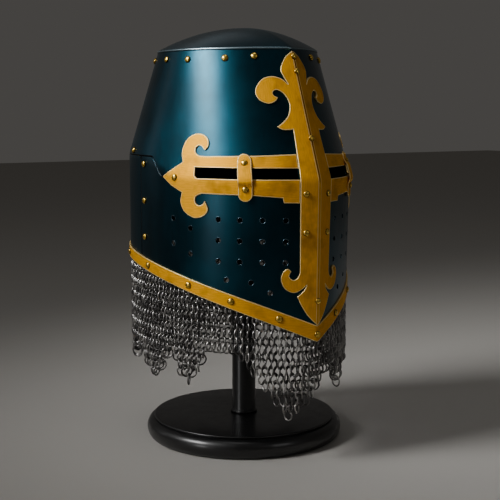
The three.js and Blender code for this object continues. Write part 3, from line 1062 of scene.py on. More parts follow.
@dataclass(frozen=True)
class DarkOxide(Patched):
    """Sheet steel left black from the forge, inside the plates: dull, with patches of scale."""

    label: str = "forge_black_steel"
    main: str = "0B0C0D"
    second: str = "17130F"
    patch_mm: float = 9.0
    detail: float = 4.0
    grit: float = 0.6
    window: Range = (0.45, 0.7)
    roughness: Range = (0.7, 0.9)
    metallic: float = 0.0


@dataclass(frozen=True)
class BareSteel(Patched):
    """Steel laid bare by countersinking the breath holes: a thin blue-grey line of cut metal."""

    label: str = "cut_steel_edge"
    main: str = "5B7380"
    second: str = "16222A"
    patch_mm: float = 2.0
    detail: float = 2.0
    grit: float = 0.5
    window: Range = (0.4, 0.65)
    roughness: Range = (0.3, 0.3)


@dataclass(frozen=True)
class BrushedBrass(Finish):
    """Antique yellow brass, brushed along the strip and left to darken.

    Hairlines run along the sheet, brown tarnish lies in soft patches, and the filed edges are worn and
    painted bright as a highlight. On the upright a dark line is painted along the fold over the keel above
    the sights, with a painted highlight line at each side of it, and both are drawn as wide as they need to
    show.

    Attributes:
        label: the material's name.
        grain: the way it was brushed.
        bright, body, brown, edge, fold: its colours.
        hair_mm, patch_mm: sizes of the hairlines and of the patches.
        fold_mm: distances from the keel between which the dark line ends.
        glint_mm: distances from the keel between which a painted highlight line begins, and then ends.
        fold_levels: heights between which the dark line comes in.
        metallic, roughness: as for the shader.
    """

    label: str
    grain: Grain
    bright: str = "F4B400"
    body: str = "DE9C00"
    brown: str = "8C5800"
    edge: str = "F7DC9A"
    fold: str = "5A2A12"
    hair_mm: float = 0.9
    patch_mm: float = 24.0
    fold_mm: Range = (0.3, 0.7)
    glint_mm: tuple[float, float, float, float] = (0.6, 1.0, 1.3, 1.9)
    fold_levels: Range = (286.0, 292.0)
    metallic: float = 0.85
    roughness: Range = (0.56, 0.68)

    def _shader(self, tree: Tree) -> Node:
        """Adds the brass's nodes.

        Args:
            tree: the material's tree.

        Returns:
            The shader node.
        """
        wall = add_node(tree, "ShaderNodeAttribute", {"attribute_name": "wall"}).outputs["Vector"]
        where = add_node(tree, "ShaderNodeTexCoord").outputs["Object"]
        fine = METRE / self.hair_mm
        along, up = (fine / 12 * stretch for stretch in self.grain.value)
        lines = add_node(
            tree, "ShaderNodeMapping", None, {"Vector": wall, "Scale": (along, up, fine / 3)}
        ).outputs[0]
        hair = add_node(
            tree, "ShaderNodeTexNoise", None,
            {"Vector": lines, "Scale": 1.0, "Detail": 4.0, "Roughness": 0.65},
        ).outputs[0]
        patch = add_node(
            tree, "ShaderNodeTexNoise", None,
            {"Vector": where, "Scale": METRE / self.patch_mm, "Detail": 3.0, "Roughness": 0.55},
        ).outputs[0]
        worn = add_node(tree, "ShaderNodeAttribute", {"attribute_name": "worn"}).outputs["Fac"]
        layers = [
            (self.bright, [(hair, 0.35, 0.68, 0, 1)]),
            (self.brown, [(patch, 0.5, 0.75, 0, 0.6)]),
            # Filed edges, worn and painted bright as a highlight
            (self.edge, [(worn, 0.2, 0.75, 0, 0.92)]),
        ]
        if self.grain is Grain.UPWARD:
            place = add_node(tree, "ShaderNodeSeparateXYZ", None, {0: wall}).outputs
            beside = add_node(tree, "ShaderNodeMath", {"operation": "ABSOLUTE"}, {0: place[0]}).outputs[0]
            start, full, fading, end = (edge * MM for edge in self.glint_mm)
            line, line_end, low, high = (edge * MM for edge in (*self.fold_mm, *self.fold_levels))
            # A painted highlight line at each side of the keel's fold, and a dark line painted in the fold
            layers += [
                (self.edge, [(beside, start, full, 0, 0.7), (beside, fading, end, 1, 0)]),
                (self.fold, [(beside, line, line_end, 1, 0), (place[1], low, high, 0, 0.95)]),
            ]
        gloss: Limits = (hair, 0.3, 0.7, *self.roughness)
        rub_and_highlight: Limits = (worn, 0.3, 0.9, 0, 0.12)
        brushed = add_node(tree, "ShaderNodeMapRange", None, dict(enumerate(gloss)))
        smoother = add_node(tree, "ShaderNodeMapRange", None, dict(enumerate(rub_and_highlight)))
        rough = add_node(
            tree, "ShaderNodeMath", {"operation": "SUBTRACT"}, {0: brushed.outputs[0], 1: smoother.outputs[0]}
        )
        bump = add_node(
            tree, "ShaderNodeBump", None, {"Strength": 0.12, "Distance": 0.0001, "Height": hair}
        )
        return add_node(
            tree, "ShaderNodeBsdfPrincipled", None,
            {
                "Base Color": self._laid_over(tree, self.body, layers),
                "Metallic": self.metallic,
                "Roughness": rough.outputs[0],
                "Normal": bump.outputs[0],
            },
        )


@dataclass(frozen=True)
class RivetBrass(Patched):
    """Turned brass rivet heads: smooth crowns, with brown tarnish and painted shade darkening the foot."""

    label: str = "turned_brass"
    main: str = "F0C658"
    second: str = "2E1A06"
    patch_mm: float = 3.0
    detail: float = 3.0
    grit: float = 0.6
    window: Range = (0.35, 0.7)
    roughness: Range = (0.22, 0.34)
    foot: Range = (0.3, 0.75)

    def _layers(self, tree: Tree, patch: Socket) -> list[Layer]:
        """Tarnish and painted shade, which lie low on a head and thinner between the patches."""
        rise = add_node(tree, "ShaderNodeAttribute", {"attribute_name": "rise"}).outputs["Fac"]
        # Tarnish and painted shade darken the lower part of the head
        return [(self.second, [(rise, *self.foot, 1, 0), (patch, *self.window, 0.7, 1)])]


@dataclass(frozen=True)
class MailSteel(Patched):
    """Drawn steel wire, oiled and darkened, with each link a little lighter or darker."""

    label: str = "oiled_steel_wire"
    main: str = "5A5858"
    light: str = "B4B2AF"
    second: str = "3A3028"
    patch_mm: float = 5.0
    detail: float = 3.0
    grit: float = 0.6
    window: Range = (0.55, 0.75)
    most: float = 0.5
    roughness: Range = (0.26, 0.4)

    def _layers(self, tree: Tree, patch: Socket) -> list[Layer]:
        """The link's own tone, and patches of rust over it."""
        tone = add_node(tree, "ShaderNodeAttribute", {"attribute_name": "tone"}).outputs["Fac"]
        return [(self.light, [(tone, 0, 1, 0, 1)]), *super()._layers(tree, patch)]


@dataclass(frozen=True)
class BlackLacquer(Patched):
    """Black polished lacquer on turned wood: a satin gloss, with a fine dust-like haze."""

    label: str = "black_lacquer_on_wood"
    main: str = "070708"
    second: str = "0B0B0C"
    patch_mm: float = 14.0
    detail: float = 4.0
    grit: float = 0.6
    window: Range = (0.4, 0.7)
    gloss_window: Range = (0.35, 0.7)
    roughness: Range = (0.34, 0.42)
    metallic: float = 0.0
    coat: float = 0.35
    coat_roughness: float = 0.14


@dataclass(frozen=True)
class StudioPaper(Finish):
    """Matt seamless paper under and behind the piece."""

    label: str = "studio_paper"
    pale: str = "A9A6A1"
    roughness: float = 0.85

    def _shader(self, tree: Tree) -> Node:
        """Adds the one shader node."""
        links = {"Base Color": hex_colour(self.pale), "Roughness": self.roughness}
        return add_node(tree, "ShaderNodeBsdfPrincipled", None, links)


# Scattering small parts


@dataclass(frozen=True)
class Spot:
    """A place for a small part: position, outward direction and direction along the row."""

    position: Array
    facing: Array
    row: Array


@dataclass
class Scatter:
    """Puts one small part on every spot with Geometry Nodes.

    Attributes:
        name, material: the piece's name and its finish.
        sizes: named inputs of the tree, in metres or plain counts.
    """

    name: str
    material: Material
    sizes: dict[str, float | int]

    def _part(self, tree: Tree, entry: Node) -> Socket:
        """Adds the nodes that make one part; each kind of part has its own."""
        raise NotImplementedError

    def _tree(self) -> Tree:
        """Builds the tree with its named inputs.

        Returns:
            The tree.
        """
        tree = bpy.data.node_groups.new(f"{self.name}_tree", "GeometryNodeTree")
        tree.interface.new_socket("Spots", in_out="INPUT", socket_type="NodeSocketGeometry")
        for label, value in self.sizes.items():
            kind = "NodeSocketInt" if isinstance(value, int) else "NodeSocketFloat"
            tree.interface.new_socket(label, in_out="INPUT", socket_type=kind)
        tree.interface.new_socket("Finish", in_out="INPUT", socket_type="NodeSocketMaterial")
        tree.interface.new_socket("Piece", in_out="OUTPUT", socket_type="NodeSocketGeometry")
        entry = add_node(tree, "NodeGroupInput")
        part = self._part(tree, entry)
        ways = [
            add_node(
                tree, "GeometryNodeInputNamedAttribute", {"data_type": "FLOAT_VECTOR"}, {"Name": label}
            ).outputs[0]
            for label in ("facing", "row")
        ]
        facing = add_node(
            tree, "FunctionNodeAxesToRotation", {"primary_axis": "Z", "secondary_axis": "X"},
            dict(enumerate(ways)),
        ).outputs[0]
        placed = add_node(
            tree, "GeometryNodeInstanceOnPoints", None,
            {"Points": entry.outputs["Spots"], "Instance": part, "Rotation": facing},
        ).outputs[0]
        turn = add_node(
            tree, "FunctionNodeRandomValue", {"data_type": "FLOAT_VECTOR"},
            {
                0: (-self.wobble, -self.wobble, -math.pi),
                1: (self.wobble, self.wobble, math.pi),
                "Seed": entry.outputs["Seed"],
            },
        ).outputs[0]
        placed = add_node(
            tree, "GeometryNodeRotateInstances", None, {"Instances": placed, "Rotation": turn}
        ).outputs[0]
        tone = add_node(
            tree, "FunctionNodeRandomValue", {"data_type": "FLOAT"},
            {2: 0.0, 3: 1.0, "Seed": entry.outputs["Seed"]},
        ).outputs[1]
        placed = add_node(
            tree, "GeometryNodeStoreNamedAttribute", {"data_type": "FLOAT", "domain": "INSTANCE"},
            {"Geometry": placed, "Name": "tone", "Value": tone},
        ).outputs[0]
        for kind, links in (
            ("GeometryNodeRealizeInstances", {}),
            ("GeometryNodeSetShadeSmooth", {}),
            ("GeometryNodeSetMaterial", {"Material": entry.outputs["Finish"]}),
        ):
            placed = add_node(tree, kind, None, {0: placed, **links}).outputs[0]
        add_node(tree, "NodeGroupOutput", None, {"Piece": placed})
        return tree

    @property
    def wobble(self) -> float:
        """How far a part leans at random, in radians."""
        return 0.0

    def make(self, spots: Sequence[Spot]) -> Piece:
        """Builds the parts as one plain mesh.

        Args:
            spots: where they go.

        Returns:
            The object, at the origin.
        """
        mesh = bpy.data.meshes.new(f"{self.name}_spots")
        mesh.from_pydata([tuple(spot.position * MM) for spot in spots], [], [])
        for label in ("facing", "row"):
            values = np.array([getattr(spot, label) for spot in spots], np.float32)
            mesh.attributes.new(label, "FLOAT_VECTOR", "POINT").data.foreach_set("vector", values.ravel())
        carrier = bpy.data.objects.new(f"{self.name}_carrier", mesh)
        bpy.context.collection.objects.link(carrier)
        tree = self._tree()
        modifier = carrier.modifiers.new("parts", "NODES")
        modifier.node_group = tree
        inputs: dict[str, object] = {**self.sizes, "Finish": self.material}
        for item in tree.interface.items_tree:
            if item.in_out == "INPUT" and item.name in inputs:
                modifier[item.identifier] = inputs[item.name]
        evaluated = carrier.evaluated_get(bpy.context.evaluated_depsgraph_get())
        plain = bpy.data.meshes.new_from_object(evaluated)
        carrier.modifiers.remove(modifier)
        bpy.data.objects.remove(carrier)
        plain.name = self.name
        for label in ("facing", "row"):
            if label in plain.attributes:
                plain.attributes.remove(plain.attributes[label])
        piece = bpy.data.objects.new(self.name, plain)
        bpy.context.collection.objects.link(piece)
        return piece


class RivetScatter(Scatter):
    """Domed rivet heads, undercut at the foot."""

    def _part(self, tree: Tree, entry: Node) -> Socket:
        """Adds the nodes of one head: a ball pressed flat, its widest part just above the seat.

        Args:
            tree: the node group.
            entry: its input node.

        Returns:
            The head's geometry.
        """
        ball = add_node(
            tree, "GeometryNodeMeshUVSphere", None, {"Segments": 18, "Rings": 12, "Radius": 1.0}
        ).outputs[0]
        place = add_node(tree, "GeometryNodeInputPosition").outputs[0]
        height = add_node(tree, "ShaderNodeSeparateXYZ", None, {0: place}).outputs[2]
        marked = add_node(
            tree, "GeometryNodeStoreNamedAttribute", {"data_type": "FLOAT", "domain": "POINT"},
            {"Geometry": ball, "Name": "rise", "Value": height},
        ).outputs[0]
        size = add_node(
            tree, "ShaderNodeCombineXYZ", None,
            {0: entry.outputs["Radius"], 1: entry.outputs["Radius"], 2: entry.outputs["Rise"]},
        ).outputs[0]
        scaled = add_node(
            tree, "ShaderNodeVectorMath", {"operation": "MULTIPLY"}, {0: place, 1: size}
        ).outputs[0]
        lift = add_node(tree, "ShaderNodeCombineXYZ", None, {2: entry.outputs["Foot"]}).outputs[0]
        moved = add_node(tree, "ShaderNodeVectorMath", {"operation": "ADD"}, {0: scaled, 1: lift}).outputs[0]
        return add_node(
            tree, "GeometryNodeSetPosition", None, {"Geometry": marked, "Position": moved}
        ).outputs[0]


class HoopScatter(Scatter):
    """Hoops of round wire: the links of the mail, and the rounded mouths of the breath holes."""

    def _part(self, tree: Tree, entry: Node) -> Socket:
        """Adds the nodes of one hoop.

        Args:
            tree: The node tree to add to.
            entry: The group's input node.

        Returns:
            The mesh of the hoop.
        """
        circles = [
            add_node(
                tree, "GeometryNodeCurvePrimitiveCircle", None,
                {"Resolution": entry.outputs[sides], "Radius": entry.outputs[radius]},
            ).outputs[0]
            for sides, radius in (("Sides", "Radius"), ("Wire Sides", "Wire"))
        ]
        return add_node(tree, "GeometryNodeCurveToMesh", None, dict(enumerate(circles))).outputs[0]

    @property
    def wobble(self) -> float:
        """How far a hoop leans at random, in radians."""
        return 0.08 if "links" in self.name else 0.0


# Sub-assemblies


@dataclass
class Finishes:
    """The materials, made once."""

    lacquer: Material
    oxide: Material
    bare: Material
    brass_along: Material
    brass_upward: Material
    rivets: Material
    mail: Material
    stand: Material

    @property
    def plate(self) -> tuple[Material, Material]:
        """The outside and the inside of a steel plate."""
        return self.lacquer, self.oxide

    @classmethod
    def make(cls) -> "Finishes":
        """Builds every material of the piece.

        Returns:
            The materials, each in its own field.
        """
        return cls(
            TealLacquer().make(),
            DarkOxide().make(),
            BareSteel().make(),
            BrushedBrass("brushed_brass_along", Grain.ALONG).make(),
            BrushedBrass("brushed_brass_upward", Grain.UPWARD).make(),
            RivetBrass().make(),
            MailSteel().make(),
            BlackLacquer().make(),
        )


@dataclass
class Assembly:
    """A sub-assembly, whose fields are its sizes and the materials that it is made of."""

    finishes: Finishes

    def _put(
        self, draft: MeshDraft, name: str, slot: str, node: str, *finishes: Material,
        sharp: float | None = None,
    ) -> None:
        """Makes a piece of a draft and puts it in the place of its node."""
        hand_over(draft.make(name, sharp), [node], finishes)


@dataclass
class Crown(Assembly):
    """The domed top plate with its rolled rim and the flange inside the skull.

    Attributes:
        rise: height of the dome over the rim level.
        shoulder: how high the rolled rim is over the rim level.
        roll: radius of the rolled rim.
        roll_from, roll_to, roll_share: the slopes that it turns through, in degrees, and the
            share of the rim's reach at which it leaves the dome.
        overhang: how far the rim stands out past the skull.
        flange: height of the flange inside.
        thick: thickness of the steel.
        gap: clearance to the skull.
        dome_shares, under_shares: rings of the dome, the first and last, and of its underside.
        dome_rings, roll_rings, columns: how many rings and columns of points there are.
        rub_and_highlight: rings of the roll, and how strongly each is painted pale: partly wear, partly a
            painted highlight line along the rim.
    """

    rise: float = 26.0
    shoulder: float = 1.9
    roll: float = 2.1
    roll_from: float = 60.0
    roll_to: float = -36.0
    roll_share: float = 0.994
    overhang: float = 0.55
    flange: float = 15.0
    thick: float = 1.5
    gap: float = 0.35
    dome_shares: Range = (0.06, 0.985)
    under_shares: tuple[float, ...] = (0.93, 0.8, 0.6, 0.4, 0.2, 0.06)
    dome_rings: int = 26
    roll_rings: int = 11
    columns: int = 224
    rub_and_highlight: tuple[tuple[float, ...], tuple[float, ...]] = ((1, 3, 5, 8), (0.0, 0.7, 0.7, 0.0))

    def make(self) -> None:
        """Builds the plate."""
        level = Level.RIM.height
        centre = np.array([0, (Level.RIM.value.back - Level.RIM.value.front) / 2])
        n = self.columns
        along = -SHELL.half_girth + 2 * SHELL.half_girth * np.arange(n) / n
        edge = SHELL.place(along, np.full(n, level))[:, :2]
        ways = SHELL.place(along, np.full(n, level), 1.0)[:, :2] - edge
        peak = self.rise - self.shoulder
        dome = lambda share: level + self.shoulder + peak * (1 - share**2)

        def in_dome(share: float, drop: float) -> Array:
            """One ring of the dome at a share of the rim's reach."""
            return np.column_stack([centre + share * (edge - centre), np.full(n, dome(share) - drop)])

        def by_wall(out: float, height: float) -> Array:
            """One ring beside the wall."""
            return np.column_stack([edge + out * ways, np.full(n, height)])

        lean, last = math.radians(self.roll_from), math.radians(self.roll_to)
        roll_out = self.overhang - self.roll
        roll_up = dome(self.roll_share) - self.roll * math.sin(lean)
        behind = -self.thick - self.gap
        outside = [
            *[in_dome(share, 0) for share in np.linspace(*self.dome_shares, self.dome_rings)],
            *[
                by_wall(roll_out + self.roll * math.cos(t), roll_up + self.roll * math.sin(t))
                for t in np.linspace(lean, last, self.roll_rings)
            ],
            by_wall(0.08, level - 0.1),
            by_wall(behind + 0.3, level - 0.1),
            by_wall(behind, level - 0.5),
            by_wall(behind, level - self.flange),
        ]
        under = [
            by_wall(behind - self.thick, level - self.flange),
            by_wall(behind - self.thick, level + 0.5),
            *[in_dome(share, self.thick) for share in self.under_shares],
        ]
        rings = outside + under
        top = np.array([[*centre, dome(0)]])
        points = np.vstack([top, *rings, top - [0, 0, self.thick]])
        end = 1 + (len(rings) - 1) * n
        faces: list[Sequence[int]] = [(0, 1 + j, 1 + (j + 1) % n) for j in range(n)]
        for i in range(len(rings) - 1):
            faces += ring_faces(1 + i * n, 1 + (i + 1) * n, n)
        faces += [(end + (j + 1) % n, end + j, len(points) - 1) for j in range(n)]
        # The rolled rim is painted pale: partly wear, partly a painted highlight line
        rim_rub_and_highlight = np.zeros(len(rings))
        rim_rub_and_highlight[self.dome_rings :][: self.roll_rings] = np.interp(range(self.roll_rings), *self.rub_and_highlight)
        worn = np.r_[0, np.repeat(rim_rub_and_highlight, n), 0]
        draft = MeshDraft(points, faces, values={"worn": worn}, second=len(outside) * n)
        self._put(draft, "crown_plate", "lacquered_steel", "crown_dome", *self.finishes.plate, sharp=40)


@dataclass
class Plates(Assembly):
    """The skull and the two lower plates.

    Attributes:
        thick, gap, bevel: thickness, clearance where plates overlap, and radius of cut edges.
        flange: how far the lower plates reach up behind the skull.
        slot: height of the open joint under the skull's edge.
        slit_from, slit_to, slit_foot, slit_head: the cut for one eye slit.
        lap_from, lap_edge, lap_end: where the back plate goes under the front one.
        over_band: how far the lower plates end above the brass band's lower edge.
        column_gap, skull_row_gap, lower_row_gap, edge_step, end_step: spacing of the points on
            the plates, along their edges and up their ends.
        over_seam, over_bend, under_bend, step_rows: heights from the joint, the wall's bend and
            the skull's edge at which points shape the plates.
        lap_columns: stations that shape the lap.
        hole_radius, hole_points: radius of a breath hole, and points round it.
        hole_columns, hole_rows, other_holes: places of the breath holes on one side.
        mouth_sink, mouth_out, mouth_wire: depth, overhang and thickness of a hole's rounded mouth.
    """

    thick: float = 1.5
    gap: float = 0.35
    bevel: float = 0.05
    flange: float = 9.5
    slot: float = 0.4
    slit_from: float = 20.6
    slit_to: float = 129.0
    slit_foot: float = 289.4
    slit_head: float = 302.3
    lap_from: float = 204.0
    lap_edge: float = 220.0
    lap_end: float = 222.6
    over_band: float = 1.0
    column_gap: float = 3.5
    skull_row_gap: float = 9.0
    lower_row_gap: float = 6.0
    edge_step: float = 4.0
    end_step: float = 5.0
    over_seam: tuple[float, ...] = (1.2, 2.4)
    over_bend: tuple[float, ...] = (0.4, 1.6, 2.8, 4.5, 6.5)
    under_bend: tuple[float, ...] = (-4.5, -2.8, -0.9)
    step_rows: tuple[float, ...] = (-5.5, -3.5, -2.2, -1.1, -0.3, -0.1, 0.1, 0.3, 1.2, 4.0)
    lap_columns: tuple[float, ...] = (220.2, 221.0, 221.8, 222.8)
    hole_radius: float = 2.6
    hole_points: int = 22
    hole_columns: tuple[float, ...] = (32.5, 55.5, 78.5, 101.5)
    hole_rows: tuple[float, ...] = (250.5, 229.5, 208.5)
    other_holes: tuple[Range, ...] = (
        (134.8, 240), (134.8, 214), (158.4, 249), (158.4, 223), (92.5, 190), (66.5, 188), (47, 178),
    )
    mouth_sink: float = 0.22
    mouth_out: float = 0.28
    mouth_wire: float = 0.34

    def _sheet(self, outline: Array, **more: object) -> BentSheet:
        """A plate whose edges are cut square and darkened with grime and painted shade."""
        # The edges are darkened with grime and painted shade, not worn bright
        shared = {"bevel": self.bevel, "column_gap": self.column_gap, "wear": -1.0}
        return BentSheet(outline, -self.thick, 0.0, **shared, **more)

    def hole_places(self) -> list[tuple[float, float]]:
        """Wall coordinates of the breath holes of both sides."""
        grid = [(a, h) for a in self.hole_columns for h in self.hole_rows] + list(self.other_holes)
        return [(side.value * a, h) for side in Side for a, h in grid]

    def _ring_outline(self, head: float) -> Array:
        """Outline of the skull, which goes all the way round.

        Args:
            head: height of its upper edge.

        Returns:
            The closed loop.
        """
        half, step = SHELL.half_girth, self.column_gap
        ends = [s * (e + d) for s in (-1, 1) for e in (self.slit_from, self.slit_to) for d in (0, 0.02)]
        low = []
        for a in with_climb(np.unique(np.r_[spread(-half, half, step), ends])):
            over_slit = self.slit_from < abs(a) - 0.01 < self.slit_to
            low.append((a, self.slit_head if over_slit else float(SHELL.seam(np.array(a)) + 0.1)))
        up = [(half, h) for h in spread(low[-1][1], head, 6)[1:-1]]
        top = [(a, head) for a in spread(-half, half, step)[::-1]]
        down = [(-half, h) for h in spread(low[0][1], head, 6)[1:-1][::-1]]
        return np.array([*low, *up, *top, *down])

    def skull(self) -> None:
        """Builds the tapering upper plate."""
        sheet = self._sheet(
            self._ring_outline(Level.RIM.height - self.gap),
            row_gap=self.skull_row_gap,
            extra_columns=KEEL_COLUMNS + CLIMB_COLUMNS,
            heights=lambda a: np.column_stack(
                [SHELL.seam(a)[:, None] + [self.over_seam], SHELL.bend(a)[:, None] + [self.over_bend]]
            ),
            ring=True,
        )
        self._put(sheet.draft(), "skull_plate", "lacquered_steel", "upper_skull", *self.finishes.plate)

    def _joggle(self, along: Array, height: Array) -> Array:
        """How far the lower plates step back behind the skull."""
        rise = height - (SHELL.seam(along) - self.slot)
        return -(self.thick + self.gap) * smooth_step(rise, -0.3, 0.3)

    def _joggle_and_lap(self, along: Array, height: Array) -> Array:
        """How far the back plate steps in behind the skull and under the front plate."""
        lap = 1 - smooth_step(np.abs(SHELL.wrapped(along)), self.lap_edge + 0.4, self.lap_end)
        return self._joggle(along, height) - (self.thick + self.gap) * lap

    def _put_lower(self, sheet: BentSheet, name: str, node: str) -> None:
        """Makes a lower plate, with grime and painted shade in its step behind the skull and along its lap.

        Args:
            sheet: the plate's sheet.
            name: the piece's name.
            node: the node that it replaces.
        """
        draft = sheet.draft()
        along, height = draft.values["wall"][:, :2].T / MM
        distance = np.abs(SHELL.wrapped(along))
        # Grime and painted shade in the step behind the skull and along the lap
        step = np.abs(height - SHELL.seam(along) + self.slot) < 0.45
        lap = (distance > self.lap_edge + 0.1) & (distance < self.lap_end + 0.1)
        draft.values["worn"] = np.where(step | lap, -1.0, draft.values["worn"])
        self._put(draft, name, "lacquered_steel", node, *self.finishes.plate)

    def _seam_rows(self, along: Array) -> Array:
        """Heights of the points that shape the step behind the skull and the bend."""
        steps = SHELL.seam(along)[:, None] - self.slot + [self.step_rows]
        return np.column_stack([steps, SHELL.bend(along)[:, None] + [self.under_bend]])

    def _foot(self, along: float) -> float:
        """Height of a lower plate's lower edge, behind the brass band."""
        return float(BAND.foot(np.array(along))) + self.over_band

    def _head(self, along: float) -> float:
        """Height of a lower plate's upper edge, behind the skull."""
        return float(SHELL.seam(np.array(along))) + self.flange

    def front(self) -> None:
        """Builds the face plate with its breath holes and slits."""
        edge, start, end, step = self.lap_edge, self.slit_from, self.slit_to, self.edge_step
        bottom = [(a, self._foot(a)) for a in spread(-edge, edge, step)]
        up = [(edge, h) for h in spread(bottom[-1][1], self._head(edge), self.end_step)[1:-1]]
        head: list[tuple[float, float]] = []
        head += [(a, self._head(a)) for a in with_climb(spread(end, edge, step))[::-1]]
        head += [(a, self.slit_foot) for a in spread(start, end, step)[::-1]]
        head += [(a, self._head(a)) for a in spread(-start, start, step)[::-1]]
        head += [(a, self.slit_foot) for a in spread(-end, -start, step)[::-1]]
        head += [(a, self._head(a)) for a in with_climb(spread(-edge, -end, step))[::-1]]
        down = [(-edge, h) for h in spread(bottom[0][1], self._head(-edge), self.end_step)[1:-1][::-1]]
        turn = np.arange(self.hole_points) * 2 * math.pi / self.hole_points
        circle = self.hole_radius * np.column_stack([np.cos(turn), np.sin(turn)])
        sheet = self._sheet(
            np.array([*bottom, *up, *head, *down]),
            holes=[circle + place for place in self.hole_places()],
            row_gap=self.lower_row_gap,
            extra_columns=KEEL_COLUMNS + CLIMB_COLUMNS,
            heights=self._seam_rows,
            lift=self._joggle,
        )
        self._put_lower(sheet, "face_plate", "lower_front_plate")

    def back(self) -> None:
        """Builds the plate round the back of the head."""
        girth = 2 * SHELL.half_girth
        start, end = self.lap_from, girth - self.lap_from
        marks = spread(start, end, self.edge_step)
        up = [(end, h) for h in spread(self._foot(end), self._head(end), self.end_step)[1:-1]]
        down = [(start, h) for h in spread(self._foot(start), self._head(start), self.end_step)[1:-1]]
        bottom = [(a, self._foot(a)) for a in marks]
        head = [(a, self._head(a)) for a in marks]
        sheet = self._sheet(
            np.array([*bottom, *up, *head[::-1], *down[::-1]]),
            row_gap=self.lower_row_gap,
            extra_columns=[c for d in self.lap_columns for c in (d, girth - d)],
            heights=self._seam_rows,
            lift=self._joggle_and_lap,
        )
        self._put_lower(sheet, "nape_plate", "lower_back_plate")

    def hole_mouths(self) -> None:
        """Builds the rounded mouths of the breath holes, which belong to the face plate."""
        spots = []
        for a, h in self.hole_places():
            level, _, square = SHELL.axes(np.array(a), np.array(h))
            position = SHELL.place(np.array(a), np.array(h), -self.mouth_sink)
            spots.append(Spot(position, square, level))
        radius = (self.hole_radius + self.mouth_out) * MM
        sizes = {"Radius": radius, "Wire": self.mouth_wire * MM, "Sides": 24, "Wire Sides": 8, "Seed": 3}
        piece = HoopScatter("breath_hole_mouths", self.finishes.bare, sizes).make(spots)
        hand_over(piece, [], [self.finishes.bare])

    def make(self) -> None:
        """Builds every steel plate."""
        self.skull()
        self.front()
        self.back()
        self.hole_mouths()


@dataclass(frozen=True)
class Band:
    """The lines of the brass band round the lower edge.

    Attributes:
        climb, ease: how steeply its lower edge climbs from the front point, and how fast it
            levels out.
        level_from: distance from which it doesn't change any more.
        width, taper, least: its width at the front point, how fast it narrows, and its least width.
    """

    climb: float = 0.42
    ease: float = 0.0006
    level_from: float = 350.0
    width: float = 16.5
    taper: float = 0.018
    least: float = 12.0

    def foot(self, along: Array) -> Array:
        """Height of the lower edge."""
        distance = np.minimum(np.abs(SHELL.wrapped(along)), self.level_from)
        return Level.FOOT.height + self.climb * distance - self.ease * distance**2

    def head(self, along: Array) -> Array:
        """Height of the upper edge."""
        distance = np.minimum(np.abs(SHELL.wrapped(along)), self.level_from)
        return self.foot(along) + np.maximum(self.width - self.taper * distance, self.least)


BAND = Band()


CORNER, ROUND = Turn.CORNER, Turn.ROUND

UPRIGHT_ROWS: tuple[tuple[float, float, Turn], ...] = (
    (0, 417.5, CORNER), (11, 411, ROUND), (19.5, 399.5, ROUND), (17, 390.5, ROUND),
    (13.5, 384, CORNER), (21, 389.8, ROUND), (33, 392, ROUND), (46, 388.5, ROUND),
    (54.5, 378, ROUND), (51.5, 369, ROUND), (41, 364.8, ROUND), (32.5, 367, ROUND),
    (28.5, 371, CORNER), (33, 373, ROUND), (33.5, 376.5, ROUND), (28, 378.3, ROUND),
    (20.5, 374, ROUND), (16.3, 364.5, ROUND), (19.5, 354, ROUND), (26.5, 347, ROUND),
    (34.5, 342, CORNER), (29, 339.3, ROUND), (22, 339, ROUND), (17.4, 339.5, CORNER),
    (17.3, 334, CORNER), (18.8, 291, CORNER), (18, 199, CORNER), (20, 194, ROUND),
    (24.5, 191.5, ROUND), (28.5, 195, ROUND), (26.5, 200, CORNER), (30, 202.8, ROUND),
    (35, 199, ROUND), (36.5, 191, ROUND), (32.5, 182.5, ROUND), (24, 178.5, ROUND),
    (16.5, 181.5, ROUND), (11, 186.5, CORNER), (14, 180.5, ROUND), (20.5, 174.5, CORNER),
    (15.5, 164.5, ROUND), (9, 154.5, ROUND), (0, 145.5, CORNER),
)

ARM_ROWS: tuple[tuple[float, float, Turn], ...] = (
    (18.5, 315.6, CORNER), (60, 314, CORNER), (120, 313, CORNER), (126.5, 314.3, ROUND),
    (129.5, 319, ROUND), (126, 323.2, ROUND), (121, 322.3, ROUND), (117.6, 318.6, CORNER),
    (113.2, 323, ROUND), (114, 330, ROUND), (121, 334.6, ROUND), (131, 334.8, ROUND),
    (141.5, 329.5, ROUND), (147.5, 318.5, ROUND), (145.3, 306.5, CORNER),
    (159.5, 299, ROUND), (173, 291, CORNER), (159.5, 282.5, ROUND), (144.5, 276, CORNER),
    (146.5, 266, ROUND), (141, 256.5, ROUND), (129, 251, ROUND), (118.5, 253, ROUND),
    (112.5, 259.5, ROUND), (116, 268.3, CORNER), (119.5, 264.8, ROUND), (123.5, 263.8, ROUND),
    (127.5, 267, ROUND), (126.8, 272.5, ROUND), (120, 275.8, CORNER), (66, 275, CORNER),
    (36, 273, CORNER), (34.8, 268, CORNER), (19.2, 267.8, CORNER), (19.2, 291, CORNER),
    (126, 291, CORNER), (128.5, 293.5, CORNER), (128.5, 301.8, CORNER),
    (19.0, 301.8, CORNER), (18.5, 315.6, CORNER),
)


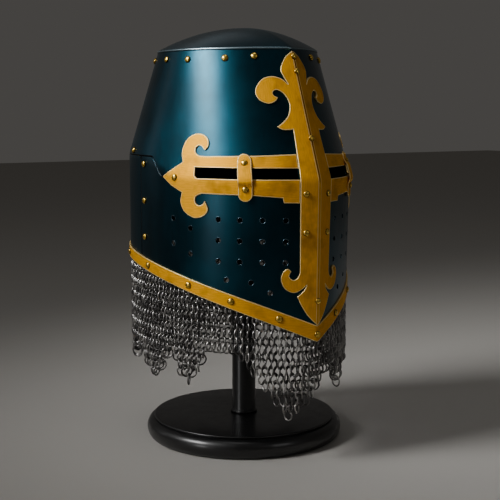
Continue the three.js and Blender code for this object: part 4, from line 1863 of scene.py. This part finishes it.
@dataclass
class Cross(Assembly):
    """The brass cross: the upright over the keel, an arm each side and a strap over each slit.

    Attributes:
        thick: thickness of the brass.
        seat: clearance to the steel.
        lift: how far the upright stands over the arms.
        bend_rows: heights from the wall's bend at which points shape the sheets.
        strap_along: where the strap crosses the slit.
        strap_width, strap_foot, strap_head: its width and its ends.
        strap_seat, strap_thick: its clearance to the arm and its thickness.
        strap_bow: how far it is bowed over the slit.
        bow_above, bow_reach, bow_slope: how far the bow's middle is over the strap's, half its
            height, and how far from its end it is fully bowed.
    """

    thick: float = 1.5
    seat: float = 0.12
    lift: float = 0.35
    bend_rows: tuple[float, ...] = (-4.5, -3.0, -1.5, 0.0, 1.5, 3.0, 4.5)
    strap_along: float = 72.5
    strap_width: float = 14.6
    strap_foot: float = 269.0
    strap_head: float = 316.0
    strap_seat: float = 0.06
    strap_thick: float = 1.3
    strap_bow: float = 2.0
    bow_above: float = 3.0
    bow_reach: float = 13.0
    bow_slope: float = 6.0

    @property
    def face(self) -> float:
        """How far the arms' face is outside the steel."""
        return self.seat + self.thick

    @property
    def strap_face(self) -> float:
        """How far the straps' flat ends are outside the steel."""
        return self.face + self.strap_seat + self.strap_thick

    def _bend_heights(self, along: Array) -> Array:
        """Heights of the points that shape a sheet over the wall's bend."""
        return SHELL.bend(along)[:, None] + [self.bend_rows]

    def upright(self) -> None:
        """Builds the upright with its four scrolled ends."""
        half = loop_from_rows(UPRIGHT_ROWS)
        mirror = half[1:-1][::-1] * [-1, 1]
        sheet = BentSheet(
            np.vstack([half, mirror]), self.seat, self.face + self.lift,
            column_gap=3.0, row_gap=4.0, extra_columns=KEEL_COLUMNS, heights=self._bend_heights,
        )
        brass = self.finishes.brass_upward
        self._put(sheet.draft(), "cross_upright_sheet", "brass", "cross_upright", brass)

    def arm(self, side: Side) -> None:
        """Builds one arm, forked round its slit and ending in a scrolled lily.

        Args:
            side: the wearer's side.
        """
        loop = loop_from_rows(ARM_ROWS)[:-1] * [side.value, 1]
        sheet = BentSheet(
            loop, self.seat, self.face, column_gap=3.0, row_gap=4.0, heights=self._bend_heights
        )
        name, node = f"cross_arm_sheet_{side.word}", f"cross_arm_{side.word}"
        self._put(sheet.draft(), name, "brass", node, self.finishes.brass_along)

    def bow(self, along: Array, height: Array) -> Array:
        """How far the strap stands off at a height: flat ends, a crease at each side of the bow."""
        middle = (self.strap_head + self.strap_foot) / 2 + self.bow_above
        return self.strap_bow * smooth_step(self.bow_reach - np.abs(height - middle), 0.0, self.bow_slope)

    def strap(self, side: Side) -> None:
        """Builds one bowed strap.

        Args:
            side: the wearer's side.
        """
        radius = self.strap_width / 2
        turn = np.linspace(0, math.pi, 15)
        top = np.column_stack([radius * np.cos(turn), self.strap_head - radius + radius * np.sin(turn)])
        foot = np.column_stack([-radius * np.cos(turn), self.strap_foot + radius - radius * np.sin(turn)])
        down = spread(self.strap_foot + radius, self.strap_head - radius, 2.0)[1:-1]
        left = np.column_stack([np.full(len(down), -radius), down[::-1]])
        right = np.column_stack([np.full(len(down), radius), down])
        loop = np.vstack([top, left, foot, right]) + [side.value * self.strap_along, 0]
        sheet = BentSheet(
            loop, self.face + self.strap_seat, self.strap_face, column_gap=2.0, row_gap=1.0, lift=self.bow
        )
        name, node = f"sight_strap_sheet_{side.word}", f"sight_strap_{side.word}"
        self._put(sheet.draft(), name, "brass", node, self.finishes.brass_upward)

    def band(self) -> None:
        """Builds the band round the lower edge."""
        half = SHELL.half_girth
        marks = spread(-half, half, 3.0)
        low = np.column_stack([marks, BAND.foot(marks)])
        high = np.column_stack([marks, BAND.head(marks)])[::-1]
        join = spread(float(BAND.foot(np.array(half))), float(BAND.head(np.array(half))), 4)[1:-1]
        right = np.array([(half, h) for h in join])
        left = np.array([(-half, h) for h in join[::-1]])
        sheet = BentSheet(
            np.vstack([low, right, high, left]), self.seat, self.face,
            column_gap=3.0, row_gap=4.0, extra_columns=KEEL_COLUMNS, ring=True,
        )
        self._put(sheet.draft(), "lower_band_sheet", "brass", "bottom_band", self.finishes.brass_along)

    def make(self) -> None:
        """Builds all the brass sheets."""
        self.upright()
        self.band()
        for side in Side:
            self.arm(side)
            self.strap(side)


@dataclass(frozen=True)
class RivetRow:
    """A row of rivets with one name: where they are and what they sit on."""

    name: str
    places: tuple[Range, ...]
    out: float
    both: bool = True
    radius: float = 3.6
    rise: float = 2.35


@dataclass
class Rivets(Assembly):
    """All the rivet heads.

    Attributes:
        cross: the cross, which says how far out its rivets sit.
        sink: height of a head's widest part over its seat.
        first_seed: seed of the first row.
    """

    cross: Cross
    sink: float = 0.35
    first_seed: int = 11

    def rows(self) -> list[RivetRow]:
        """The rows, with their places in wall coordinates.

        Returns:
            One row for each name.
        """
        steel, brass = 0.0, self.cross.face
        upright, strap = brass + self.cross.lift, self.cross.strap_face
        edge = self.cross.strap_along
        rim = ((51.5, 412.3), (93, 410.5), (156, 410), (208.5, 411), (272, 411), (346, 411))
        band = ((37.9, 152.3), (87, 168.6), (136.5, 181.8), (202.5, 195.5), (262, 203.5), (326, 208))
        return [
            RivetRow("rim_rivet", rim, steel),
            RivetRow("keel_rivet", ((0, 412), (0, 397), (0, 331), (0, 170)), upright, both=False, radius=3.3),
            RivetRow("upright_rivet", ((13, 277), (12.5, 238.5)), upright, radius=3.3, rise=2.2),
            RivetRow("arm_rivet", ((154.6, 291),), brass),
            RivetRow("strap_rivet", ((edge, 307), (edge, 281)), strap, radius=3.3, rise=2.2),
            RivetRow("side_rivet", ((212, 302), (212, 263.5), (212, 225)), steel),
            RivetRow("seam_rivet", ((246, 315.5),), steel),
            RivetRow("band_rivet", band, brass),
            RivetRow("band_rivet_middle", ((0, 136.2),), brass, both=False),
        ]

    def make(self) -> None:
        """Builds the heads, one piece for each row."""
        for number, row in enumerate(self.rows()):
            spots, nodes = [], []
            for i, (along, height) in enumerate(row.places):
                for side in Side if row.both else (Side.LEFT,):
                    a, h = np.array(along * side.value, float), np.array(height, float)
                    level, _, square = SHELL.axes(a, h)
                    bow = self.cross.bow(a, h) if row.name == "strap_rivet" else 0.0
                    spots.append(Spot(SHELL.place(a, h, row.out + bow), square, level))
                    word = f"_{side.word}" if row.both else ""
                    nodes.append(f"{row.name}{word}_{i + 1}")
            sizes = {"Radius": row.radius * MM, "Rise": (row.rise - self.sink) * MM, "Foot": self.sink * MM}
            sizes["Seed"] = self.first_seed + number
            scatter = RivetScatter(f"{row.name}_heads", self.finishes.rivets, sizes)
            hand_over(scatter.make(spots), nodes, [self.finishes.rivets])


MAIL_EDGE_ROWS: tuple[Range, ...] = (
    (-398.4, 112), (-375, 100), (-338, 76), (-302, 108), (-272, 79), (-247.5, 106), (-200.5, 71),
    (-167.5, 111), (-142, 71), (-119, 107), (-109, 111), (-88.5, 113), (-65.5, 94), (-46, 70),
    (-24, 44), (0, 66), (17.5, 86), (37, 97), (61, 70), (92, 110), (126, 74), (158, 111), (190, 76),
    (222, 110), (255, 78), (287, 110), (320, 77), (352, 108), (384, 78), (398.4, 112),
)


@dataclass
class Mail(Assembly):
    """The skirt of mail: every link passes through two above it and two below it.

    Attributes:
        columns: links in a row all the way round.
        row_gap: height from one row to the next.
        radius, wire: radius of a link, to the middle of its wire, and of the wire.
        sides, wire_sides: sides of a link and of its wire.
        lean: how far a link turns about the upright out of the wall, in degrees, to one side in
            one row and to the other in the next.
        tucked, hung: how far inside the wall's line the links are at the top and below.
        settle: how far below the band's edge they come out to the second of these.
        top, lowest: heights between which rows are laid out.
        behind, hem_clear: how far they reach up behind the band, and above the hem's line in radii.
        stray: how far a link is from its place along, up and out, and from its lean in degrees.
        place_seed, tone_seed: seeds of the random places and tones.
    """

    columns: int = 124
    row_gap: float = 7.5
    radius: float = 5.7
    wire: float = 0.92
    sides: int = 14
    wire_sides: int = 5
    lean: float = 59.0
    tucked: float = 7.2
    hung: float = 4.9
    settle: float = 14.0
    top: float = 217.0
    lowest: float = 40.0
    behind: float = 9.0
    hem_clear: float = 0.7
    stray: tuple[float, float, float, float] = (0.2, 0.12, 0.15, 5.0)
    place_seed: int = 5
    tone_seed: int = 21

    def edge(self, along: Array) -> Array:
        """Height of the dagged hem."""
        rows = np.array(MAIL_EDGE_ROWS)
        return np.interp(SHELL.wrapped(along), rows[:, 0], rows[:, 1])

    def kept(self) -> list[tuple[int, float, float]]:
        """Lays out the links.

        Returns:
            Row number and wall coordinates of every link that hangs from another.
        """
        pitch = 2 * SHELL.half_girth / self.columns
        found: dict[tuple[int, int], tuple[float, float]] = {}
        row = 0
        height = self.top
        while height > self.lowest:
            odd = row % 2
            for j in range(self.columns):
                along = -SHELL.half_girth + (j + 0.5 * odd) * pitch
                foot = float(BAND.foot(np.array(along)))
                above = [(row - 1, (j - 1 + odd) % self.columns), (row - 1, (j + odd) % self.columns)]
                hangs = height > foot + 1.0 or any(place in found for place in above)
                low_edge = float(self.edge(np.array(along))) + self.hem_clear * self.radius
                if hangs and low_edge < height < foot + self.behind:
                    found[(row, j)] = (along, height)
            row += 1
            height -= self.row_gap
        return [(key[0], *value) for key, value in found.items()]

    def make(self) -> None:
        """Builds the links in three pieces."""
        third = SHELL.half_girth / 3
        groups: dict[str, list[Spot]] = {"front": [], "right": [], "left": []}
        rows = self.kept()
        jitter = np.random.default_rng(self.place_seed).normal(0, 1, (len(rows), 4)) * self.stray
        for (row, along, height), (da, dh, do, dl) in zip(rows, jitter):
            foot = float(BAND.foot(np.array(along)))
            settled = float(smooth_step(np.array(foot - height), -2.0, self.settle))
            out = -(self.tucked + (self.hung - self.tucked) * settled)
            a, h = np.array(along + da), np.array(height + dh)
            level, upward, square = SHELL.axes(a, h, mail=True)
            lean = math.radians(self.lean + dl) * (1 if row % 2 else -1)
            facing = math.cos(lean) * square + math.sin(lean) * level
            position = SHELL.place(a, h, out + do, mail=True)
            name = "front" if abs(along) < third else ("right" if along < 0 else "left")
            groups[name].append(Spot(position, facing, upward))
        sizes = {"Radius": self.radius * MM, "Wire": self.wire * MM}
        sizes |= {"Sides": self.sides, "Wire Sides": self.wire_sides, "Seed": self.tone_seed}
        for name, spots in groups.items():
            scatter = HoopScatter(f"mail_links_{name}", self.finishes.mail, sizes)
            hand_over(scatter.make(spots), ["mail_aventail"], [self.finishes.mail])


@dataclass
class Stand(Assembly):
    """The turned stand: a stepped round base and a post with a bead and a hidden head.

    Attributes:
        base_rows: radius and height down the outside of the base, from the axis.
        base_segments, post_segments: faces round the base and the post.
        clear: gap between the base and the post.
        post_radius: radius of the post.
        bead_radius, bead_height, bead_round: the bead at its foot, and how far its side curves.
        neck_rows: radius and depth under the seat's edge, up the side of the head.
        seat_edge, seat_rows: radii of the seat, which follows the dome from inside.
        dome_rise, dome_radius, dome_gap, dome_thick: the dome that the seat is under.
    """

    base_rows: tuple[Range, ...] = (
        (0, 0), (60, 0), (101.5, 0), (103, 0.25), (104.6, 1.1), (106, 2.6), (107, 4.6), (107.7, 7),
        (108, 9.3), (107.9, 11.5), (107.4, 13.8), (106.5, 15.8), (105.2, 17.6), (103.6, 19), (101.9, 19.9),
        (100.4, 20.3), (99.2, 20.4), (98.75, 20.5), (98.6, 20.75), (98.75, 21.1), (99.3, 21.35),
        (99.75, 21.7), (99.9, 22.1), (99.85, 22.6), (99.55, 23.05), (99.1, 23.3), (98.5, 23.4),
        (60, 23.4), (0, 23.4),
    )
    base_segments: int = 144
    post_segments: int = 72
    clear: float = 0.02
    post_radius: float = 13.0
    bead_radius: float = 14.8
    bead_height: float = 3.4
    bead_round: float = 1.5
    neck_rows: tuple[Range, ...] = (
        (13.0, 50.5), (13.2, 49.5), (32.6, 16.2), (33.4, 15.6), (37.9, 5.2), (37.9, 4.2),
    )
    seat_edge: float = 38.0
    seat_rows: tuple[float, ...] = (35.0, 19.0, 0.0)
    dome_rise: float = 26.0
    dome_radius: float = 83.0
    dome_gap: float = 1.85
    dome_thick: float = 1.5

    def base(self) -> None:
        """Builds the round base."""
        draft = turned(np.array(self.base_rows, float), self.base_segments)
        self._put(draft, "turned_base", "black_lacquer", "stand_base", self.finishes.stand, sharp=50)

    def _seat(self, radius: float) -> float:
        """Height of the head's seat under the dome."""
        fall = self.dome_rise * (radius / self.dome_radius) ** 2
        return Level.RIM.height + self.dome_rise - self.dome_gap - fall - self.dome_thick

    def post(self) -> None:
        """Builds the post and the plain head that carries the crown from inside."""
        start = self.base_rows[-1][1] + self.clear
        half, end = self.bead_height / 2, start + self.bead_height
        bead = [
            (
                self.bead_radius - self.bead_round + self.bead_round * math.cos(t),
                start + half + half * math.sin(t),
            )
            for t in np.radians(np.linspace(-75, 75, 9))
        ]
        profile = [
            (0, start), (12, start), *bead,
            (self.post_radius + 0.2, end + 0.3), (self.post_radius, end + 0.9),
            *[(radius, self._seat(self.seat_edge) - depth) for radius, depth in self.neck_rows],
            (36.2, self._seat(36) - 0.2), *[(radius, self._seat(radius)) for radius in self.seat_rows],
        ]
        draft = turned(np.array(profile, float), self.post_segments)
        self._put(draft, "turned_post", "black_lacquer", "stand_post", self.finishes.stand, sharp=40)

    def make(self) -> None:
        """Builds the stand."""
        self.base()
        self.post()


# Studio


@dataclass(frozen=True)
class Lamp:
    """One soft light: its place, what it faces, its size, its power and the opening of its beam."""

    name: str
    at: Place
    aim: Place
    size: Range
    watts: float
    beam: float = 180.0

    def make(self) -> None:
        """Adds the light to the scene."""
        data = bpy.data.lights.new(self.name, "AREA")
        data.shape = "RECTANGLE"
        data.size, data.size_y = (side * MM for side in self.size)
        data.energy = self.watts
        data.spread = math.radians(self.beam)
        lamp = bpy.data.objects.new(self.name, data)
        bpy.context.collection.objects.link(lamp)
        lamp.location = Vector(self.at) * MM
        lamp.rotation_euler = (Vector(self.aim) - Vector(self.at)).to_track_quat("-Z", "Y").to_euler()


@dataclass
class Studio:
    """The paper floor, the lights and the camera at the photograph's viewpoint.

    Attributes:
        eye, target: where the camera is and what it looks at, in millimetres.
        lens, sensor: focal length and width of the sensor.
        floor: half the floor's width.
        under: how far the floor lies under the piece.
        sky, sky_strength: colour and strength of the light from all round.
        lamps: the lights.
    """

    eye: Place = (-615.0, -1034.1, 360.8)
    target: Place = (5.89, -3.55, 205.28)
    lens: float = 79.23
    sensor: float = 36.0
    floor: float = 6000.0
    under: float = 0.05
    sky: str = "8A8783"
    sky_strength: float = 0.26
    lamps: tuple[Lamp, ...] = (
        Lamp("key", (-1375, 170, 1260), (0, 0, 400), (820, 600), 2.8, beam=38),
        Lamp("low_left", (-1690, -300, 270), (0, 0, 180), (360, 420), 2.1),
        Lamp("strip_behind", (-1000, 1150, 640), (0, 0, 360), (120, 900), 0.3),
        Lamp("behind", (300, 1350, 1680), (0, 0, 430), (900, 500), 0.03, beam=40),
        Lamp("overhead", (-100, -150, 2300), (-100, -150, 0), (1000, 1000), 5),
        Lamp("front_right", (500, -1900, 1000), (0, 0, 360), (700, 700), 1.6),
    )

    def make(self) -> None:
        """Builds the studio."""
        paper = StudioPaper().make()
        ways = np.array([(-1, -1), (1, -1), (1, 1), (-1, 1)])
        corners = np.column_stack([ways * self.floor, np.full(4, -self.under)])
        floor = MeshDraft(corners, [(0, 1, 2, 3)]).make("paper_floor")
        floor.data.materials.append(paper)

        data = bpy.data.cameras.new("camera")
        data.lens = self.lens
        data.sensor_width = self.sensor
        data.clip_end = 50.0
        camera = bpy.data.objects.new("camera", data)
        bpy.context.collection.objects.link(camera)
        eye, target = Vector(self.eye) * MM, Vector(self.target) * MM
        camera.location = eye
        camera.rotation_euler = (target - eye).to_track_quat("-Z", "Y").to_euler()
        bpy.context.scene.camera = camera

        for lamp in self.lamps:
            lamp.make()
        world = bpy.data.worlds.new("studio")
        world.use_nodes = True
        sky = world.node_tree.nodes["Background"]
        sky.inputs["Color"].default_value = hex_colour(self.sky)
        sky.inputs["Strength"].default_value = self.sky_strength
        bpy.context.scene.world = world


def write_sizes() -> None:
    """Updates the view layer."""
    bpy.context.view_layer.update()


def main() -> None:
    """Builds the classes in order."""
    logging.basicConfig(level=logging.INFO, format="%(name)s %(message)s")
    finishes = Finishes.make()
    Studio().make()
    Crown(finishes).make()
    Plates(finishes).make()
    cross = Cross(finishes)
    cross.make()
    Rivets(finishes, cross).make()
    Mail(finishes).make()
    Stand(finishes).make()
    write_sizes()


if __name__ == "__main__":
    main()
